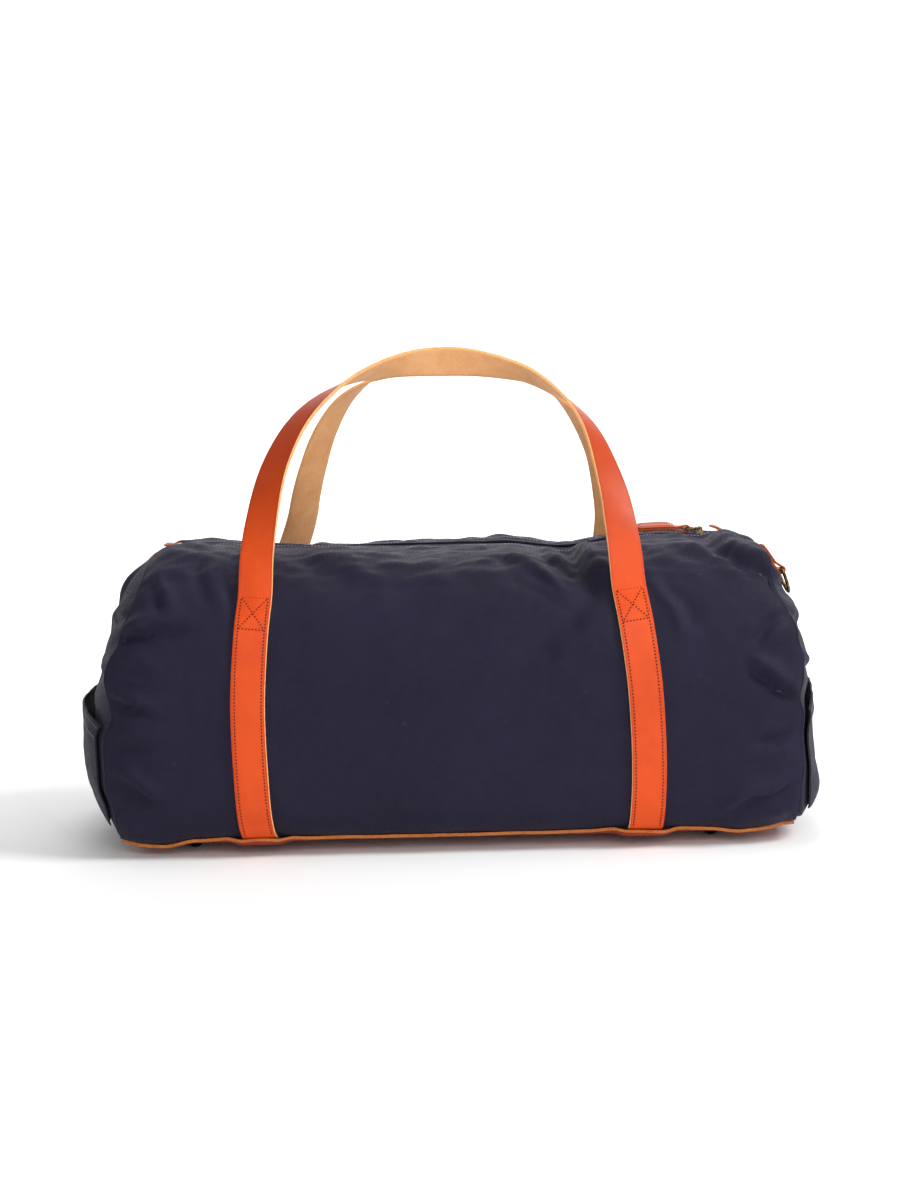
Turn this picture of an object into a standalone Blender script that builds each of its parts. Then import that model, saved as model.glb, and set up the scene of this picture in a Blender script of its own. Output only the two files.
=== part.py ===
"""Weekender bag: a canvas barrel holdall with a leather base, two leather strap handles and a top zip.

Frame: X along the bag, -Y towards the front panel, +Z up. The origin is on the floor, under the
middle of the bag. Every length is in metres.
"""
import math

import bmesh
import bpy
import numpy as np
from mathutils import Matrix, Vector

FRONT, BACK = -1, 1
LEFT, RIGHT = -1, 1
SIDE_NAMES = {FRONT: "front", BACK: "back"}
END_NAMES = {LEFT: "left", RIGHT: "right"}

GAP = 0.0003                # clearance between pieces that touch
CANVAS = 0.0020             # canvas with its lining
LINING_TAPE = 0.0008        # zip tape

# Body section: a barrel with a nearly flat bottom
HALF_DEPTH = 0.136
BOTTOM_HEIGHT = 0.0095      # underside of the canvas bottom
MID_HEIGHT = 0.105          # height of the widest line
TOP_HEIGHT = 0.245
LOWER_ROUND = 8.0           # superellipse powers of the lower and upper halves
UPPER_ROUND = 3.0

# Body length
FLAT_HALF = 0.215           # half of the stretch whose section stays the same
SEAM_HALF = 0.268           # end seam, at the lower part of the bag
SEAM_LEAN = {LEFT: 0.024, RIGHT: 0.008}
DOME_HALF = 0.297
DOME_ROUND = 3.5
DOME_RINGS = (0.96, 0.88, 0.74, 0.50, 0.25)
END_TAPER = 0.04
SEAM_TUCK = 0.0026          # how far the end panel's rim sits inside the barrel
RIM_LIP = 0.003             # end panel's lip inside the seam
RIM_STEP = 0.001            # and the part of it that shows outside the seam

BINDING_WIDTH = 0.005
BINDING_THICK = 0.0016
BINDING_BACK = 0.0036       # binding's distance inside the seam

# Base
BASE_LEATHER = 0.0025
BASE_SEAM = 0.112           # where the canvas bottom meets the front and back panels
BASE_SEAM_CLEAR = 0.0010     # the panels turn up here, so their inner edges lean together
BASE_EDGE_HEIGHT = 0.0175   # raw edge of the leather base
BOARD_HALF = (0.224, 0.097)
BOARD_CORNER = 0.020
BOARD_BOTTOM = 0.0137
BOARD_THICK = 0.0025
FOOT_PLACE = (0.213, 0.086)
FOOT_RADIUS = 0.00675
FOOT_HEIGHT = 0.0068
FOOT_DOME = 0.75            # height of the domed part, as a share of the foot's
FOOT_FLAT = 0.5             # flat underneath, as a share of the radius
SHANK_RADIUS = 0.0016
SHANK_HOLE = 0.0022
WASHER_RADIUS = 0.006
WASHER_THICK = 0.001

# Straps and handles
STRAP_WIDTH = 0.0275
STRAP_THICK = 0.0032
STRAP_SPREAD = 0.158        # strap's distance from the straps' middle, at its widest
STRAP_SHIFT = -0.002        # the straps' middle, from the bag's middle
STRAP_PINCH = 0.007
FOLD_HEIGHT = 0.208         # where a handle leaves the bag
FOLD_CLEAR = 0.0020         # clearance of the sewn strap below the fold line
FOLD_STAND = 0.0003         # the fold axis lies this far outside the strap
STRAP_FOOT_CLEAR = 0.0006   # between a strap's lower end and the leather base
HANDLE_START = 0.0005       # clearance of the handle above the fold line
HANDLE_RISE = 0.1835
HANDLE_LEAN = 0.060         # how far the top of a handle leans over the bag
HANDLE_ROUND = 2.3
HANDLE_TWIST = math.radians(136)
TWIST_SHARE = {LEFT: ((0.0, 0.28, 0.44, 0.615, 0.80, 1.0), (0.0, 0.20, 0.29, 0.41, 0.68, 1.0)),
               RIGHT: ((0.0, 0.25, 0.50, 0.75, 1.0), (0.0, 0.22, 0.47, 0.73, 1.0))}
HANDLE_SHIFT = {FRONT: 0.0, BACK: 0.010}

# Mouth and zip
MOUTH_HALF = 0.163
MOUTH_HINGE_HEIGHT = 0.2255
HINGE_CLEAR = 0.0006
SLIT_CLEAR = 0.0006
MOUTH_SLOT = 0.0065         # half of the slot between the panels
TAPE_INNER, TAPE_OUTER = 0.0040, 0.0165
TOOTH_INNER, TOOTH_OUTER = 0.0008, 0.0037
TOOTH_HALF_THICK = 0.0012
CHAIN_HEIGHT = TOP_HEIGHT - 0.0038
CHAIN_HALF = 0.2295
CHAIN_BRIDGE = 0.0020
STOP_LENGTH, STOP_HALF, STOP_HALF_THICK = 0.0025, 0.0035, 0.0012

SLIDER_REST = 0.219
SLIDER_HALF_LENGTH = 0.0075
SLIDER_HALF_WIDTH = 0.0055
SLIDER_SLOT = 0.0016        # half of the height between the slider's plates
SLIDER_PLATE = 0.0013
SLIDER_POST = 0.0005
LUG_OUTER, LUG_INNER = 0.0034, 0.0023
LUG_RADIUS = 0.0018
PIVOT_RISE = 0.0078         # puller's pivot above the zip chain
PIN_RADIUS = 0.0005
PULLER_LENGTH = 0.0120
PULLER_EYE = 0.0019
PULLER_WIRE = 0.0011
PULLER_BAR_HALF = 0.0085
TAB_LENGTH = 0.042
TAB_HALF_WIDTH = 0.0064
TAB_LEATHER = 0.0015
TAB_THROAT = 0.008          # stretch in which the tab's two layers open round the bar

# End fittings
ZIP_TAB_START = 0.2287
ZIP_TAB_END = {LEFT: 0.2415, RIGHT: 0.2480}
ZIP_TAB_HALF = 0.011
ZIP_TAB_THICK = 0.0022
RING_WIRE = 0.0015
RING_HALF = 0.0125
RING_DEPTH = 0.021
RING_SEAT = 0.78            # place of the D-ring on the end panel, 0 middle to 1 rim
RING_STAND = 0.0068         # D-ring bar's distance from the end panel
RING_SET = {LEFT: 0.045, RIGHT: 0.0}   # D-ring's place across the bag
RING_LEAN = math.radians(20)
LOOP_LEATHER = 0.0016
LOOP_HALF = 0.0088
LOOP_LIFT = 0.0022
LOOP_NECK = 0.0040
LOOP_TOP = 0.94

# End pockets
POCKET_CANVAS = 0.0016
POCKET_FOOT = 0.026
POCKET_MOUTH = 0.124
POCKET_MOUTH_DIP = 0.016
POCKET_BULGE = 0.0080
POCKET_LIFT = 0.0028
POCKET_EDGE = 0.955         # the pocket's sides, as a share of the end panel's width

NAVY = (0.028, 0.024, 0.042)
LINING = (0.055, 0.050, 0.070)
TAN = (0.58, 0.13, 0.025)
BRASS = (0.16, 0.11, 0.06)
BOARD = (0.10, 0.09, 0.08)


def clear_scene():
    for item in list(bpy.data.objects):
        bpy.data.objects.remove(item, do_unlink=True)


def new_collection(name):
    collection = bpy.data.collections.new(name)
    bpy.context.scene.collection.children.link(collection)
    return collection


def colour(item, base, roughness, metallic=0.0):
    """Give an object its own Principled material."""
    material = bpy.data.materials.new(item.name)
    material.use_nodes = True
    shader = material.node_tree.nodes["Principled BSDF"]
    shader.inputs["Base Color"].default_value = (*base, 1.0)
    shader.inputs["Roughness"].default_value = roughness
    shader.inputs["Metallic"].default_value = metallic
    item.data.materials.append(material)
    return item


def canvas(item):
    return colour(item, NAVY, 0.8)


def leather(item):
    return colour(item, TAN, 0.55)


def metal(item):
    return colour(item, BRASS, 0.4, 1.0)


def object_from(name, mesh_or_curve, collection):
    item = bpy.data.objects.new(name, mesh_or_curve)
    collection.objects.link(item)
    return item


# ---------------------------------------------------------------- body surface

def half_outline(samples=600):
    """Half a section as (out, up) pairs, from the bottom's middle to the top's middle."""
    turn = np.linspace(-math.pi / 2, math.pi / 2, samples)
    low = turn < 0
    power = np.where(low, 2 / LOWER_ROUND, 2 / UPPER_ROUND)
    rise = np.where(low, MID_HEIGHT - BOTTOM_HEIGHT, TOP_HEIGHT - MID_HEIGHT)
    out = HALF_DEPTH * np.abs(np.cos(turn)) ** power
    up = MID_HEIGHT + rise * np.sign(turn) * np.abs(np.sin(turn)) ** power
    out[0] = out[-1] = 0.0
    return out, up


OUT, UP = half_outline()
REACH = np.concatenate(([0.0], np.cumsum(np.hypot(np.diff(OUT), np.diff(UP)))))
HALF_GIRTH = float(REACH[-1])


def girth_at(height):
    """Distance along the section, from the bottom's middle, at which it reaches a height."""
    return float(np.interp(height, UP, REACH))


def section(girth, inset=0.0):
    """Point (out, up) of the section at a girth, moved towards the inside by inset."""
    step = 0.002
    before, after = max(0.0, girth - step), min(HALF_GIRTH, girth + step)
    run = np.interp(after, REACH, OUT) - np.interp(before, REACH, OUT)
    climb = np.interp(after, REACH, UP) - np.interp(before, REACH, UP)
    length = math.hypot(run, climb)
    out = np.interp(girth, REACH, OUT) - inset * climb / length
    up = np.interp(girth, REACH, UP) + inset * run / length
    return float(out), float(up)


def shrink(x):
    """Scale of the section towards the ends of the bag."""
    beyond = max(0.0, (abs(x) - FLAT_HALF) / (SEAM_HALF - FLAT_HALF))
    return 1.0 - END_TAPER * beyond ** 2


def skin(x, girth, side, inset=0.0):
    """Point on the barrel's surface."""
    out, up = section(girth, inset)
    scale = shrink(x)
    return Vector((x, side * out * scale, MID_HEIGHT + (up - MID_HEIGHT) * scale))


def smooth(low, high, value):
    share = min(1.0, max(0.0, (value - low) / (high - low)))
    return share * share * (3 - 2 * share)


def seam_x(end, height):
    """Distance of an end seam from the bag's middle: the seam leans in above mid height."""
    return SEAM_HALF - SEAM_LEAN[end] * smooth(0.150, TOP_HEIGHT, height)


BASE_GIRTH = BASE_SEAM
HINGE_GIRTH = girth_at(MOUTH_HINGE_HEIGHT)
SLOT_GIRTH = HALF_GIRTH - MOUTH_SLOT


def stations(start, *spans):
    """Girths from start through spans of (end, count) pairs."""
    values = [start]
    for end, count in spans:
        values += list(np.linspace(values[-1], end, count + 1)[1:])
    return values


PANEL_ROWS = stations(BASE_GIRTH, (girth_at(0.045), 5), (girth_at(0.150), 4),
                      (girth_at(0.200), 3), (HINGE_GIRTH, 2))
MOUTH_ROWS = stations(HINGE_GIRTH, (SLOT_GIRTH, 3))
RING_ROWS = stations(0.0, (BASE_GIRTH, 3)) + PANEL_ROWS[1:] + MOUTH_ROWS[1:] + [HALF_GIRTH]


# ---------------------------------------------------------------- mesh helpers

def grid_mesh(name, points, flip=False, keep=lambda row, column: True):
    """Mesh of quads over a table of points; keep says which quads are there."""
    mesh = bpy.data.meshes.new(name)
    build = bmesh.new()
    table = [[build.verts.new(point) for point in row] for row in points]
    for i in range(len(table) - 1):
        for j in range(len(table[0]) - 1):
            if keep(i, j):
                quad = [table[i][j], table[i][j + 1], table[i + 1][j + 1], table[i + 1][j]]
                build.faces.new(reversed(quad) if flip else quad)
    loose = [vertex for vertex in build.verts if not vertex.link_faces]
    bmesh.ops.delete(build, geom=loose, context="VERTS")
    build.to_mesh(mesh)
    build.free()
    return mesh


def solidify(item, thickness, offset=-1.0):
    shell = item.modifiers.new("thickness", "SOLIDIFY")
    shell.thickness = thickness
    shell.offset = offset
    return item


def box_mesh(name, low, high):
    """Box between two corners, from a unit cube."""
    mesh = bpy.data.meshes.new(name)
    build = bmesh.new()
    bmesh.ops.create_cube(build, size=1.0)
    size = [h - l for l, h in zip(low, high)]
    middle = [(h + l) / 2 for l, h in zip(low, high)]
    bmesh.ops.scale(build, vec=size, verts=build.verts)
    bmesh.ops.translate(build, vec=middle, verts=build.verts)
    build.to_mesh(mesh)
    build.free()
    return mesh


def turned(name, profile, steps, collection, ring=False):
    """Solid of revolution about Z: a (radius, height) profile that runs top to bottom."""
    mesh = bpy.data.meshes.new(name)
    edges = [(i, i + 1) for i in range(len(profile) - 1)]
    if ring:
        edges.append((len(profile) - 1, 0))
    mesh.from_pydata([(radius, 0.0, height) for radius, height in profile], edges, [])
    item = object_from(name, mesh, collection)
    screw = item.modifiers.new("turn", "SCREW")
    screw.steps = screw.render_steps = steps
    screw.use_merge_vertices = True
    screw.merge_threshold = 0.00001
    return item


def outline_plate(name, loops, thickness, place, collection):
    """Flat plate: closed outlines in a plane, filled and extruded, then placed by a matrix."""
    curve = bpy.data.curves.new(name, "CURVE")
    curve.dimensions = "2D"
    curve.fill_mode = "BOTH"
    curve.extrude = thickness / 2
    for loop in loops:
        spline = curve.splines.new("POLY")
        spline.points.add(len(loop) - 1)
        for point, (x, y) in zip(spline.points, loop):
            point.co = (x, y, 0.0, 1.0)
        spline.use_cyclic_u = True
    item = object_from(name, curve, collection)
    item.matrix_world = place
    return item


def to_mesh(item):
    """Replace a curve object by its mesh, caps welded."""
    bpy.context.view_layer.update()
    evaluated = item.evaluated_get(bpy.context.evaluated_depsgraph_get())
    mesh = bpy.data.meshes.new_from_object(evaluated)
    build = bmesh.new()
    build.from_mesh(mesh)
    bmesh.ops.remove_doubles(build, verts=build.verts, dist=0.00001)
    build.to_mesh(mesh)
    build.free()
    copy = object_from(item.name + "_mesh", mesh, item.users_collection[0])
    copy.matrix_world = item.matrix_world
    name, data = item.name, item.data
    bpy.data.objects.remove(item)
    bpy.data.curves.remove(data)
    copy.name = name
    return copy


def boolean(item, tool, operation):
    cut = item.modifiers.new(operation.lower(), "BOOLEAN")
    cut.operation = operation
    cut.solver = "EXACT"
    cut.object = tool
    tool.hide_render = True
    tool.display_type = "WIRE"


def arc(centre, radius, start, end, count):
    """Points along an arc, angles in degrees."""
    turns = np.linspace(math.radians(start), math.radians(end), count)
    return [(centre[0] + radius * math.cos(t), centre[1] + radius * math.sin(t)) for t in turns]


def rounded_rectangle(half_x, half_y, radius, count=4):
    loop = []
    for quarter, (sx, sy) in enumerate(((1, 1), (-1, 1), (-1, -1), (1, -1))):
        centre = (sx * (half_x - radius), sy * (half_y - radius))
        loop += arc(centre, radius, 90 * quarter, 90 * quarter + 90, count)
    return loop


SIDE_PLANE = Matrix.Rotation(math.pi / 2, 4, "X")      # plate's x, y to world X, Z


# ---------------------------------------------------------------- canvas body

def panel_columns(height):
    """X places across a panel, from seam to seam, at a height; the mouth's ends are columns."""
    inner = np.linspace(-MOUTH_HALF, MOUTH_HALF, 7)
    share = np.array([0.0, 0.30, 0.52, 0.76, 1.0])
    left = -MOUTH_HALF - share[::-1][:-1] * (seam_x(LEFT, height) - GAP - MOUTH_HALF)
    right = MOUTH_HALF + share[1:] * (seam_x(RIGHT, height) - GAP - MOUTH_HALF)
    return list(left) + list(inner) + list(right)


def side_panel(side, collection):
    """Front or back panel, with the notch in its top edge where the mouth panel moves."""
    rows = PANEL_ROWS[:-1] + [HINGE_GIRTH - HINGE_CLEAR] + MOUTH_ROWS[1:]
    rows[0] += BASE_SEAM_CLEAR
    notch_row = len(PANEL_ROWS) - 1
    points = [[skin(x, girth, side) for x in panel_columns(section(girth)[1])] for girth in rows]
    first, last = 4, 9
    mesh = grid_mesh(SIDE_NAMES[side] + "_panel", points, flip=side == BACK,
                     keep=lambda i, j: i < notch_row or not first <= j <= last)
    return canvas(solidify(object_from(mesh.name, mesh, collection), CANVAS))


def bottom_panel(collection):
    """Canvas bottom between the front and back panels."""
    across = [(girth, BACK) for girth in (BASE_GIRTH - GAP / 2, BASE_GIRTH * 2 / 3, BASE_GIRTH / 3)]
    across += [(0.0, FRONT)] + [(girth, FRONT) for girth, _ in reversed(across)]
    points = [[skin(x, girth, side) for x in panel_columns(BOTTOM_HEIGHT)] for girth, side in across]
    mesh = grid_mesh("bottom_panel", points)
    return canvas(solidify(object_from(mesh.name, mesh, collection), CANVAS))


def ring_point(end, girth, side, inset):
    """Point of the end seam's ring, inside the barrel by inset."""
    height = section(girth)[1]
    return skin(end * seam_x(end, height), girth, side, inset)


RING = [(girth, FRONT) for girth in RING_ROWS] + [(girth, BACK) for girth in RING_ROWS[-2:0:-1]]


def end_panel(end, collection):
    """Domed end: a short lip inside the barrel's rim, then rings to the middle."""
    name = END_NAMES[end] + "_end_panel"
    mesh = bpy.data.meshes.new(name)
    build = bmesh.new()
    centre = Vector((0.0, 0.0, MID_HEIGHT))
    rings = []
    for share, push in ((1.0, -RIM_LIP), (1.0, RIM_STEP)) + tuple((part, 0) for part in DOME_RINGS):
        ring = []
        for girth, side in RING:
            rim = ring_point(end, girth, side, SEAM_TUCK)
            bulge = (DOME_HALF - abs(rim.x) - RIM_STEP) * (1 - share ** DOME_ROUND)
            point = centre + share * (Vector((0.0, rim.y, rim.z)) - centre)
            point.x = end * (abs(rim.x) + (push if share == 1.0 else RIM_STEP) + bulge)
            ring.append(build.verts.new(point))
        rings.append(ring)
    middle = build.verts.new((end * DOME_HALF, 0.0, MID_HEIGHT))
    count = len(RING)
    for outer, inner in zip(rings, rings[1:]):
        for k in range(count):
            quad = [outer[k], outer[(k + 1) % count], inner[(k + 1) % count], inner[k]]
            build.faces.new(quad if end == LEFT else reversed(quad))
    for k in range(count):
        fan = [rings[-1][k], rings[-1][(k + 1) % count], middle]
        build.faces.new(fan if end == LEFT else reversed(fan))
    build.to_mesh(mesh)
    build.free()
    return canvas(solidify(object_from(name, mesh, collection), CANVAS))


def dome_point(end, y, z, stand=0.0):
    """Point over the end panel at (y, z), a distance stand outside it."""
    scale = shrink(seam_x(end, z))
    rise = (TOP_HEIGHT - MID_HEIGHT) if z > MID_HEIGHT else (MID_HEIGHT - BOTTOM_HEIGHT)
    power = UPPER_ROUND if z > MID_HEIGHT else LOWER_ROUND
    wide, tall = HALF_DEPTH * scale - SEAM_TUCK, rise * scale - SEAM_TUCK
    share = ((abs(y) / wide) ** power + (abs(z - MID_HEIGHT) / tall) ** power) ** (1 / power)
    rim_height = MID_HEIGHT + (z - MID_HEIGHT) / max(share, 0.05)
    rim = seam_x(end, rim_height) + RIM_STEP
    bulge = (DOME_HALF - rim) * (1 - min(share, 1.0) ** DOME_ROUND)
    return Vector((end * (rim + bulge + stand), y, z))


def end_pocket(end, collection):
    """Slip pocket over the lower part of the end panel, open at its top."""
    scale = shrink(SEAM_HALF)
    wide = (HALF_DEPTH * scale - SEAM_TUCK) * POCKET_EDGE
    tall = (MID_HEIGHT - BOTTOM_HEIGHT) * scale - SEAM_TUCK
    points = []
    for row in np.linspace(0.0, 1.0, 8):
        line = []
        for across in np.sin(np.linspace(-math.pi / 2, math.pi / 2, 13)):
            mouth = POCKET_MOUTH - POCKET_MOUTH_DIP * across ** 2
            z = POCKET_FOOT + (mouth - POCKET_FOOT) * row
            drop = min(1.0, max(0.0, (MID_HEIGHT - z) / tall))
            y = across * wide * (1 - drop ** LOWER_ROUND) ** (1 / LOWER_ROUND)
            bulge = POCKET_BULGE * (1 - across ** 2) * smooth(-0.1, 0.5, row)
            line.append(dome_point(end, y, z, POCKET_LIFT + POCKET_CANVAS + bulge))
        points.append(line)
    mesh = grid_mesh(END_NAMES[end] + "_end_pocket", points, flip=end == LEFT)
    return canvas(solidify(object_from(mesh.name, mesh, collection), POCKET_CANVAS))


def seam_binding(end, collection):
    """Bias tape that covers the raw edges of the end seam, inside the bag."""
    name = END_NAMES[end] + "_seam_binding"
    points = []
    for back in (BINDING_WIDTH + BINDING_BACK, BINDING_BACK):
        ring = [ring_point(end, girth, side, SEAM_TUCK) for girth, side in RING]
        points.append([point - Vector((end * back, 0.0, 0.0)) for point in ring + ring[:1]])
    mesh = grid_mesh(name, points, flip=end == RIGHT)
    build = bmesh.new()
    build.from_mesh(mesh)
    bmesh.ops.remove_doubles(build, verts=build.verts, dist=0.00001)
    build.to_mesh(mesh)
    build.free()
    return colour(solidify(object_from(name, mesh, collection), BINDING_THICK), LINING, 0.8)


# ---------------------------------------------------------------- base

def foot_places():
    for side in (FRONT, BACK):
        for end in (LEFT, RIGHT):
            name = SIDE_NAMES[side] + "_" + END_NAMES[end]
            yield name, Vector((end * FOOT_PLACE[0], side * FOOT_PLACE[1], 0.0))


def shank_cutters(collection):
    """Rods where the feet's shanks pass through the bottom of the bag."""
    cutters = []
    for name, place in foot_places():
        bpy.ops.mesh.primitive_cylinder_add(vertices=10, radius=SHANK_HOLE, depth=0.04, location=place)
        cutter = bpy.context.object
        cutter.name = name + "_shank_hole"
        for other in list(cutter.users_collection):
            other.objects.unlink(cutter)
        collection.objects.link(cutter)
        cutters.append(cutter)
    return cutters


def base_panel(collection):
    """Leather skin under the bag, turned up at the front and back to a raw edge."""
    edge = girth_at(BASE_EDGE_HEIGHT)
    half = [0.0, BASE_GIRTH / 3, BASE_GIRTH * 2 / 3] + [g for g in PANEL_ROWS if g < edge - 0.001] + [edge]
    across = [(girth, BACK) for girth in reversed(half[1:])] + [(girth, FRONT) for girth in half]
    outset = GAP + BASE_LEATHER
    points = [[skin(x, girth, side, -outset) for x in panel_columns(BOTTOM_HEIGHT)]
              for girth, side in across]
    mesh = grid_mesh("base_panel", points)
    return leather(solidify(object_from(mesh.name, mesh, collection), BASE_LEATHER))


def base_board(collection):
    """Stiff board that keeps the bottom flat, loose inside the bag."""
    loop = rounded_rectangle(*BOARD_HALF, BOARD_CORNER)
    place = Matrix.Translation((0.0, 0.0, BOARD_BOTTOM + BOARD_THICK / 2))
    board = outline_plate("base_board", [loop], BOARD_THICK, place, collection)
    return colour(to_mesh(board), BOARD, 0.8)


def foot(name, place, collection):
    """Domed stud: flat underneath, with a shank through leather, canvas and board."""
    top = BOARD_BOTTOM + BOARD_THICK + WASHER_THICK + GAP
    dome = [(FOOT_RADIUS * math.cos(t) ** 0.8, FOOT_HEIGHT * FOOT_DOME * (1 - math.sin(t) ** 0.9))
            for t in np.linspace(0.0, math.radians(63), 6)]
    profile = [(0.0, top), (SHANK_RADIUS, top), (SHANK_RADIUS, FOOT_HEIGHT), (FOOT_RADIUS, FOOT_HEIGHT)]
    profile += dome + [(FOOT_RADIUS * FOOT_FLAT, 0.0), (0.0, 0.0)]
    item = turned(name + "_foot", profile, 14, collection)
    item.location = place
    return metal(item)


def washer(name, place, collection):
    """Washer that the foot's shank is peened over, inside the bag."""
    low = BOARD_BOTTOM + BOARD_THICK + GAP
    high = low + WASHER_THICK
    inner = SHANK_HOLE
    profile = [(inner, low), (inner, high), (WASHER_RADIUS, high), (WASHER_RADIUS, low)]
    item = turned(name + "_foot_washer", profile, 14, collection, ring=True)
    item.location = place
    return metal(item)


# ---------------------------------------------------------------- straps and handles

def strap_centre(height):
    """A strap's distance from the straps' middle: straps close in a little above and below."""
    return STRAP_SPREAD - STRAP_PINCH * ((height - 0.100) / (FOLD_HEIGHT - 0.100)) ** 2


def sewn_strap(side, end, collection):
    """The stretch of strap sewn to the panel, from the leather base to the fold line."""
    bottom = girth_at(BASE_EDGE_HEIGHT) + STRAP_FOOT_CLEAR
    top = girth_at(FOLD_HEIGHT) - FOLD_CLEAR
    girths = [bottom] + [g for g in PANEL_ROWS if bottom + 0.002 < g < top - 0.002] + [top]
    points = []
    for girth in girths:
        middle = STRAP_SHIFT + end * strap_centre(section(girth)[1])
        edges = [middle - STRAP_WIDTH / 2, middle + STRAP_WIDTH / 2]
        points.append([skin(x, girth, side, -(GAP + STRAP_THICK)) for x in edges])
    name = "%s_%s_strap" % (SIDE_NAMES[side], END_NAMES[end])
    mesh = grid_mesh(name, points, flip=side == BACK)
    return leather(solidify(object_from(name, mesh, collection), STRAP_THICK))


def fold_line(side, stand=STRAP_THICK / 2):
    """(y, z) of a line along the fold height, a distance outside the strap's inner face."""
    point = skin(0.0, girth_at(FOLD_HEIGHT), side, -(GAP + stand))
    return point.y, point.z


def handle_path(side, count=34):
    """Centre points of a handle, from its left fold to its right fold, in its leaning plane."""
    y0, z0 = fold_line(side)
    low = HANDLE_START / HANDLE_RISE
    spread = strap_centre(FOLD_HEIGHT)
    turns = np.linspace(math.asin(low ** (HANDLE_ROUND / 2)), math.pi / 2, count // 2 + 1)
    rise = np.sin(turns) ** (2 / HANDLE_ROUND)
    reach = np.abs(np.cos(turns)) ** (2 / HANDLE_ROUND)
    reach[-1] = 0.0
    half = [(-spread * r, h) for r, h in zip(reach, rise)]
    full = half + [(-x, h) for x, h in reversed(half[:-1])]
    return [Vector((x + STRAP_SHIFT + HANDLE_SHIFT[side] * smooth(0.0, 0.35, h), y0 - side * HANDLE_LEAN * h,
                    z0 + HANDLE_RISE * h)) for x, h in full]


def handle_edges(side):
    """Edge points of the twisted strap along a handle: (outer edge, inner edge) pairs."""
    path = handle_path(side)
    lengths = np.concatenate(([0.0], np.cumsum([(b - a).length for a, b in zip(path, path[1:])])))
    half = lengths[-1] / 2
    lean = Vector((0.0, -side * HANDLE_LEAN, HANDLE_RISE)).normalized()
    plane = Vector((0.0, lean.z * side, -lean.y * side))
    edges = []
    for k, point in enumerate(path):
        ahead = (path[min(k + 1, len(path) - 1)] - path[max(k - 1, 0)]).normalized()
        normal = (plane - ahead * plane.dot(ahead)).normalized()
        outward = normal.cross(ahead) * (-side)
        share = max(0.0, (half - abs(lengths[k] - half) - 0.015) / (half - 0.015))
        turn = HANDLE_TWIST * float(np.interp(share, *TWIST_SHARE[LEFT if lengths[k] < half else RIGHT]))
        face = normal * math.cos(turn) + outward * math.sin(turn)
        across = face.cross(ahead) * (STRAP_WIDTH / 2)
        edges.append((point - across, point + across))
    return edges


def handle(side, collection):
    """Free loop of a strap, twisted so that its flesh side turns to the bag's middle at the top."""
    points = [[first, last] for first, last in handle_edges(side)]
    name = SIDE_NAMES[side] + "_handle"
    mesh = grid_mesh(name, points)
    return leather(solidify(object_from(name, mesh, collection), STRAP_THICK, 0.0))


# ---------------------------------------------------------------- mouth and zip

def mouth_panel(side, collection):
    """Top of a panel, which turns up and out when the zip is open."""
    rows = [HINGE_GIRTH + HINGE_CLEAR] + MOUTH_ROWS[1:]
    columns = np.linspace(-MOUTH_HALF + SLIT_CLEAR, MOUTH_HALF - SLIT_CLEAR, 7)
    points = [[skin(x, girth, side) for x in columns] for girth in rows]
    name = SIDE_NAMES[side] + "_mouth_panel"
    mesh = grid_mesh(name, points, flip=side == BACK)
    return canvas(solidify(object_from(name, mesh, collection), CANVAS))


def strip_box(name, side, inner, outer, half_thick, collection):
    """Straight strip along the mouth between two distances from the zip's middle."""
    near, far = sorted((side * inner, side * outer))
    reach = MOUTH_HALF - SLIT_CLEAR
    low = (-reach, near, CHAIN_HEIGHT - half_thick)
    high = (reach, far, CHAIN_HEIGHT + half_thick)
    return object_from(name, box_mesh(name, low, high), collection)


def zip_tape(side, collection):
    item = strip_box(SIDE_NAMES[side] + "_zip_tape", side, TAPE_INNER, TAPE_OUTER,
                     LINING_TAPE / 2, collection)
    return colour(item, LINING, 0.85)


def zip_teeth(side, collection):
    """Row of teeth, as one bar; the slider's post runs between the two rows."""
    return metal(strip_box(SIDE_NAMES[side] + "_zip_teeth", side, TOOTH_INNER, TOOTH_OUTER,
                           TOOTH_HALF_THICK, collection))


def zip_end(end, collection):
    """End of the zip beyond the mouth: both tapes, joined past the slider's parking place."""
    inner, outer = MOUTH_HALF, CHAIN_HALF
    slot = outer - CHAIN_BRIDGE
    loop = [(inner, TOOTH_INNER), (slot, TOOTH_INNER), (slot, -TOOTH_INNER), (inner, -TOOTH_INNER),
            (inner, -TAPE_OUTER), (outer, -TAPE_OUTER), (outer, TAPE_OUTER), (inner, TAPE_OUTER)]
    loop = [(end * x, y) for x, y in loop]
    place = Matrix.Translation((0.0, 0.0, CHAIN_HEIGHT))
    item = outline_plate(END_NAMES[end] + "_zip_end", [loop], LINING_TAPE, place, collection)
    return colour(to_mesh(item), LINING, 0.85)


def zip_stop(end, collection):
    """Metal stop clamped over the last tooth."""
    first, last = sorted((end * (CHAIN_HALF + GAP), end * (CHAIN_HALF + GAP + STOP_LENGTH)))
    name = END_NAMES[end] + "_zip_stop"
    mesh = box_mesh(name, (first, -STOP_HALF, CHAIN_HEIGHT - STOP_HALF_THICK),
                    (last, STOP_HALF, CHAIN_HEIGHT + STOP_HALF_THICK))
    return metal(object_from(name, mesh, collection))


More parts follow.
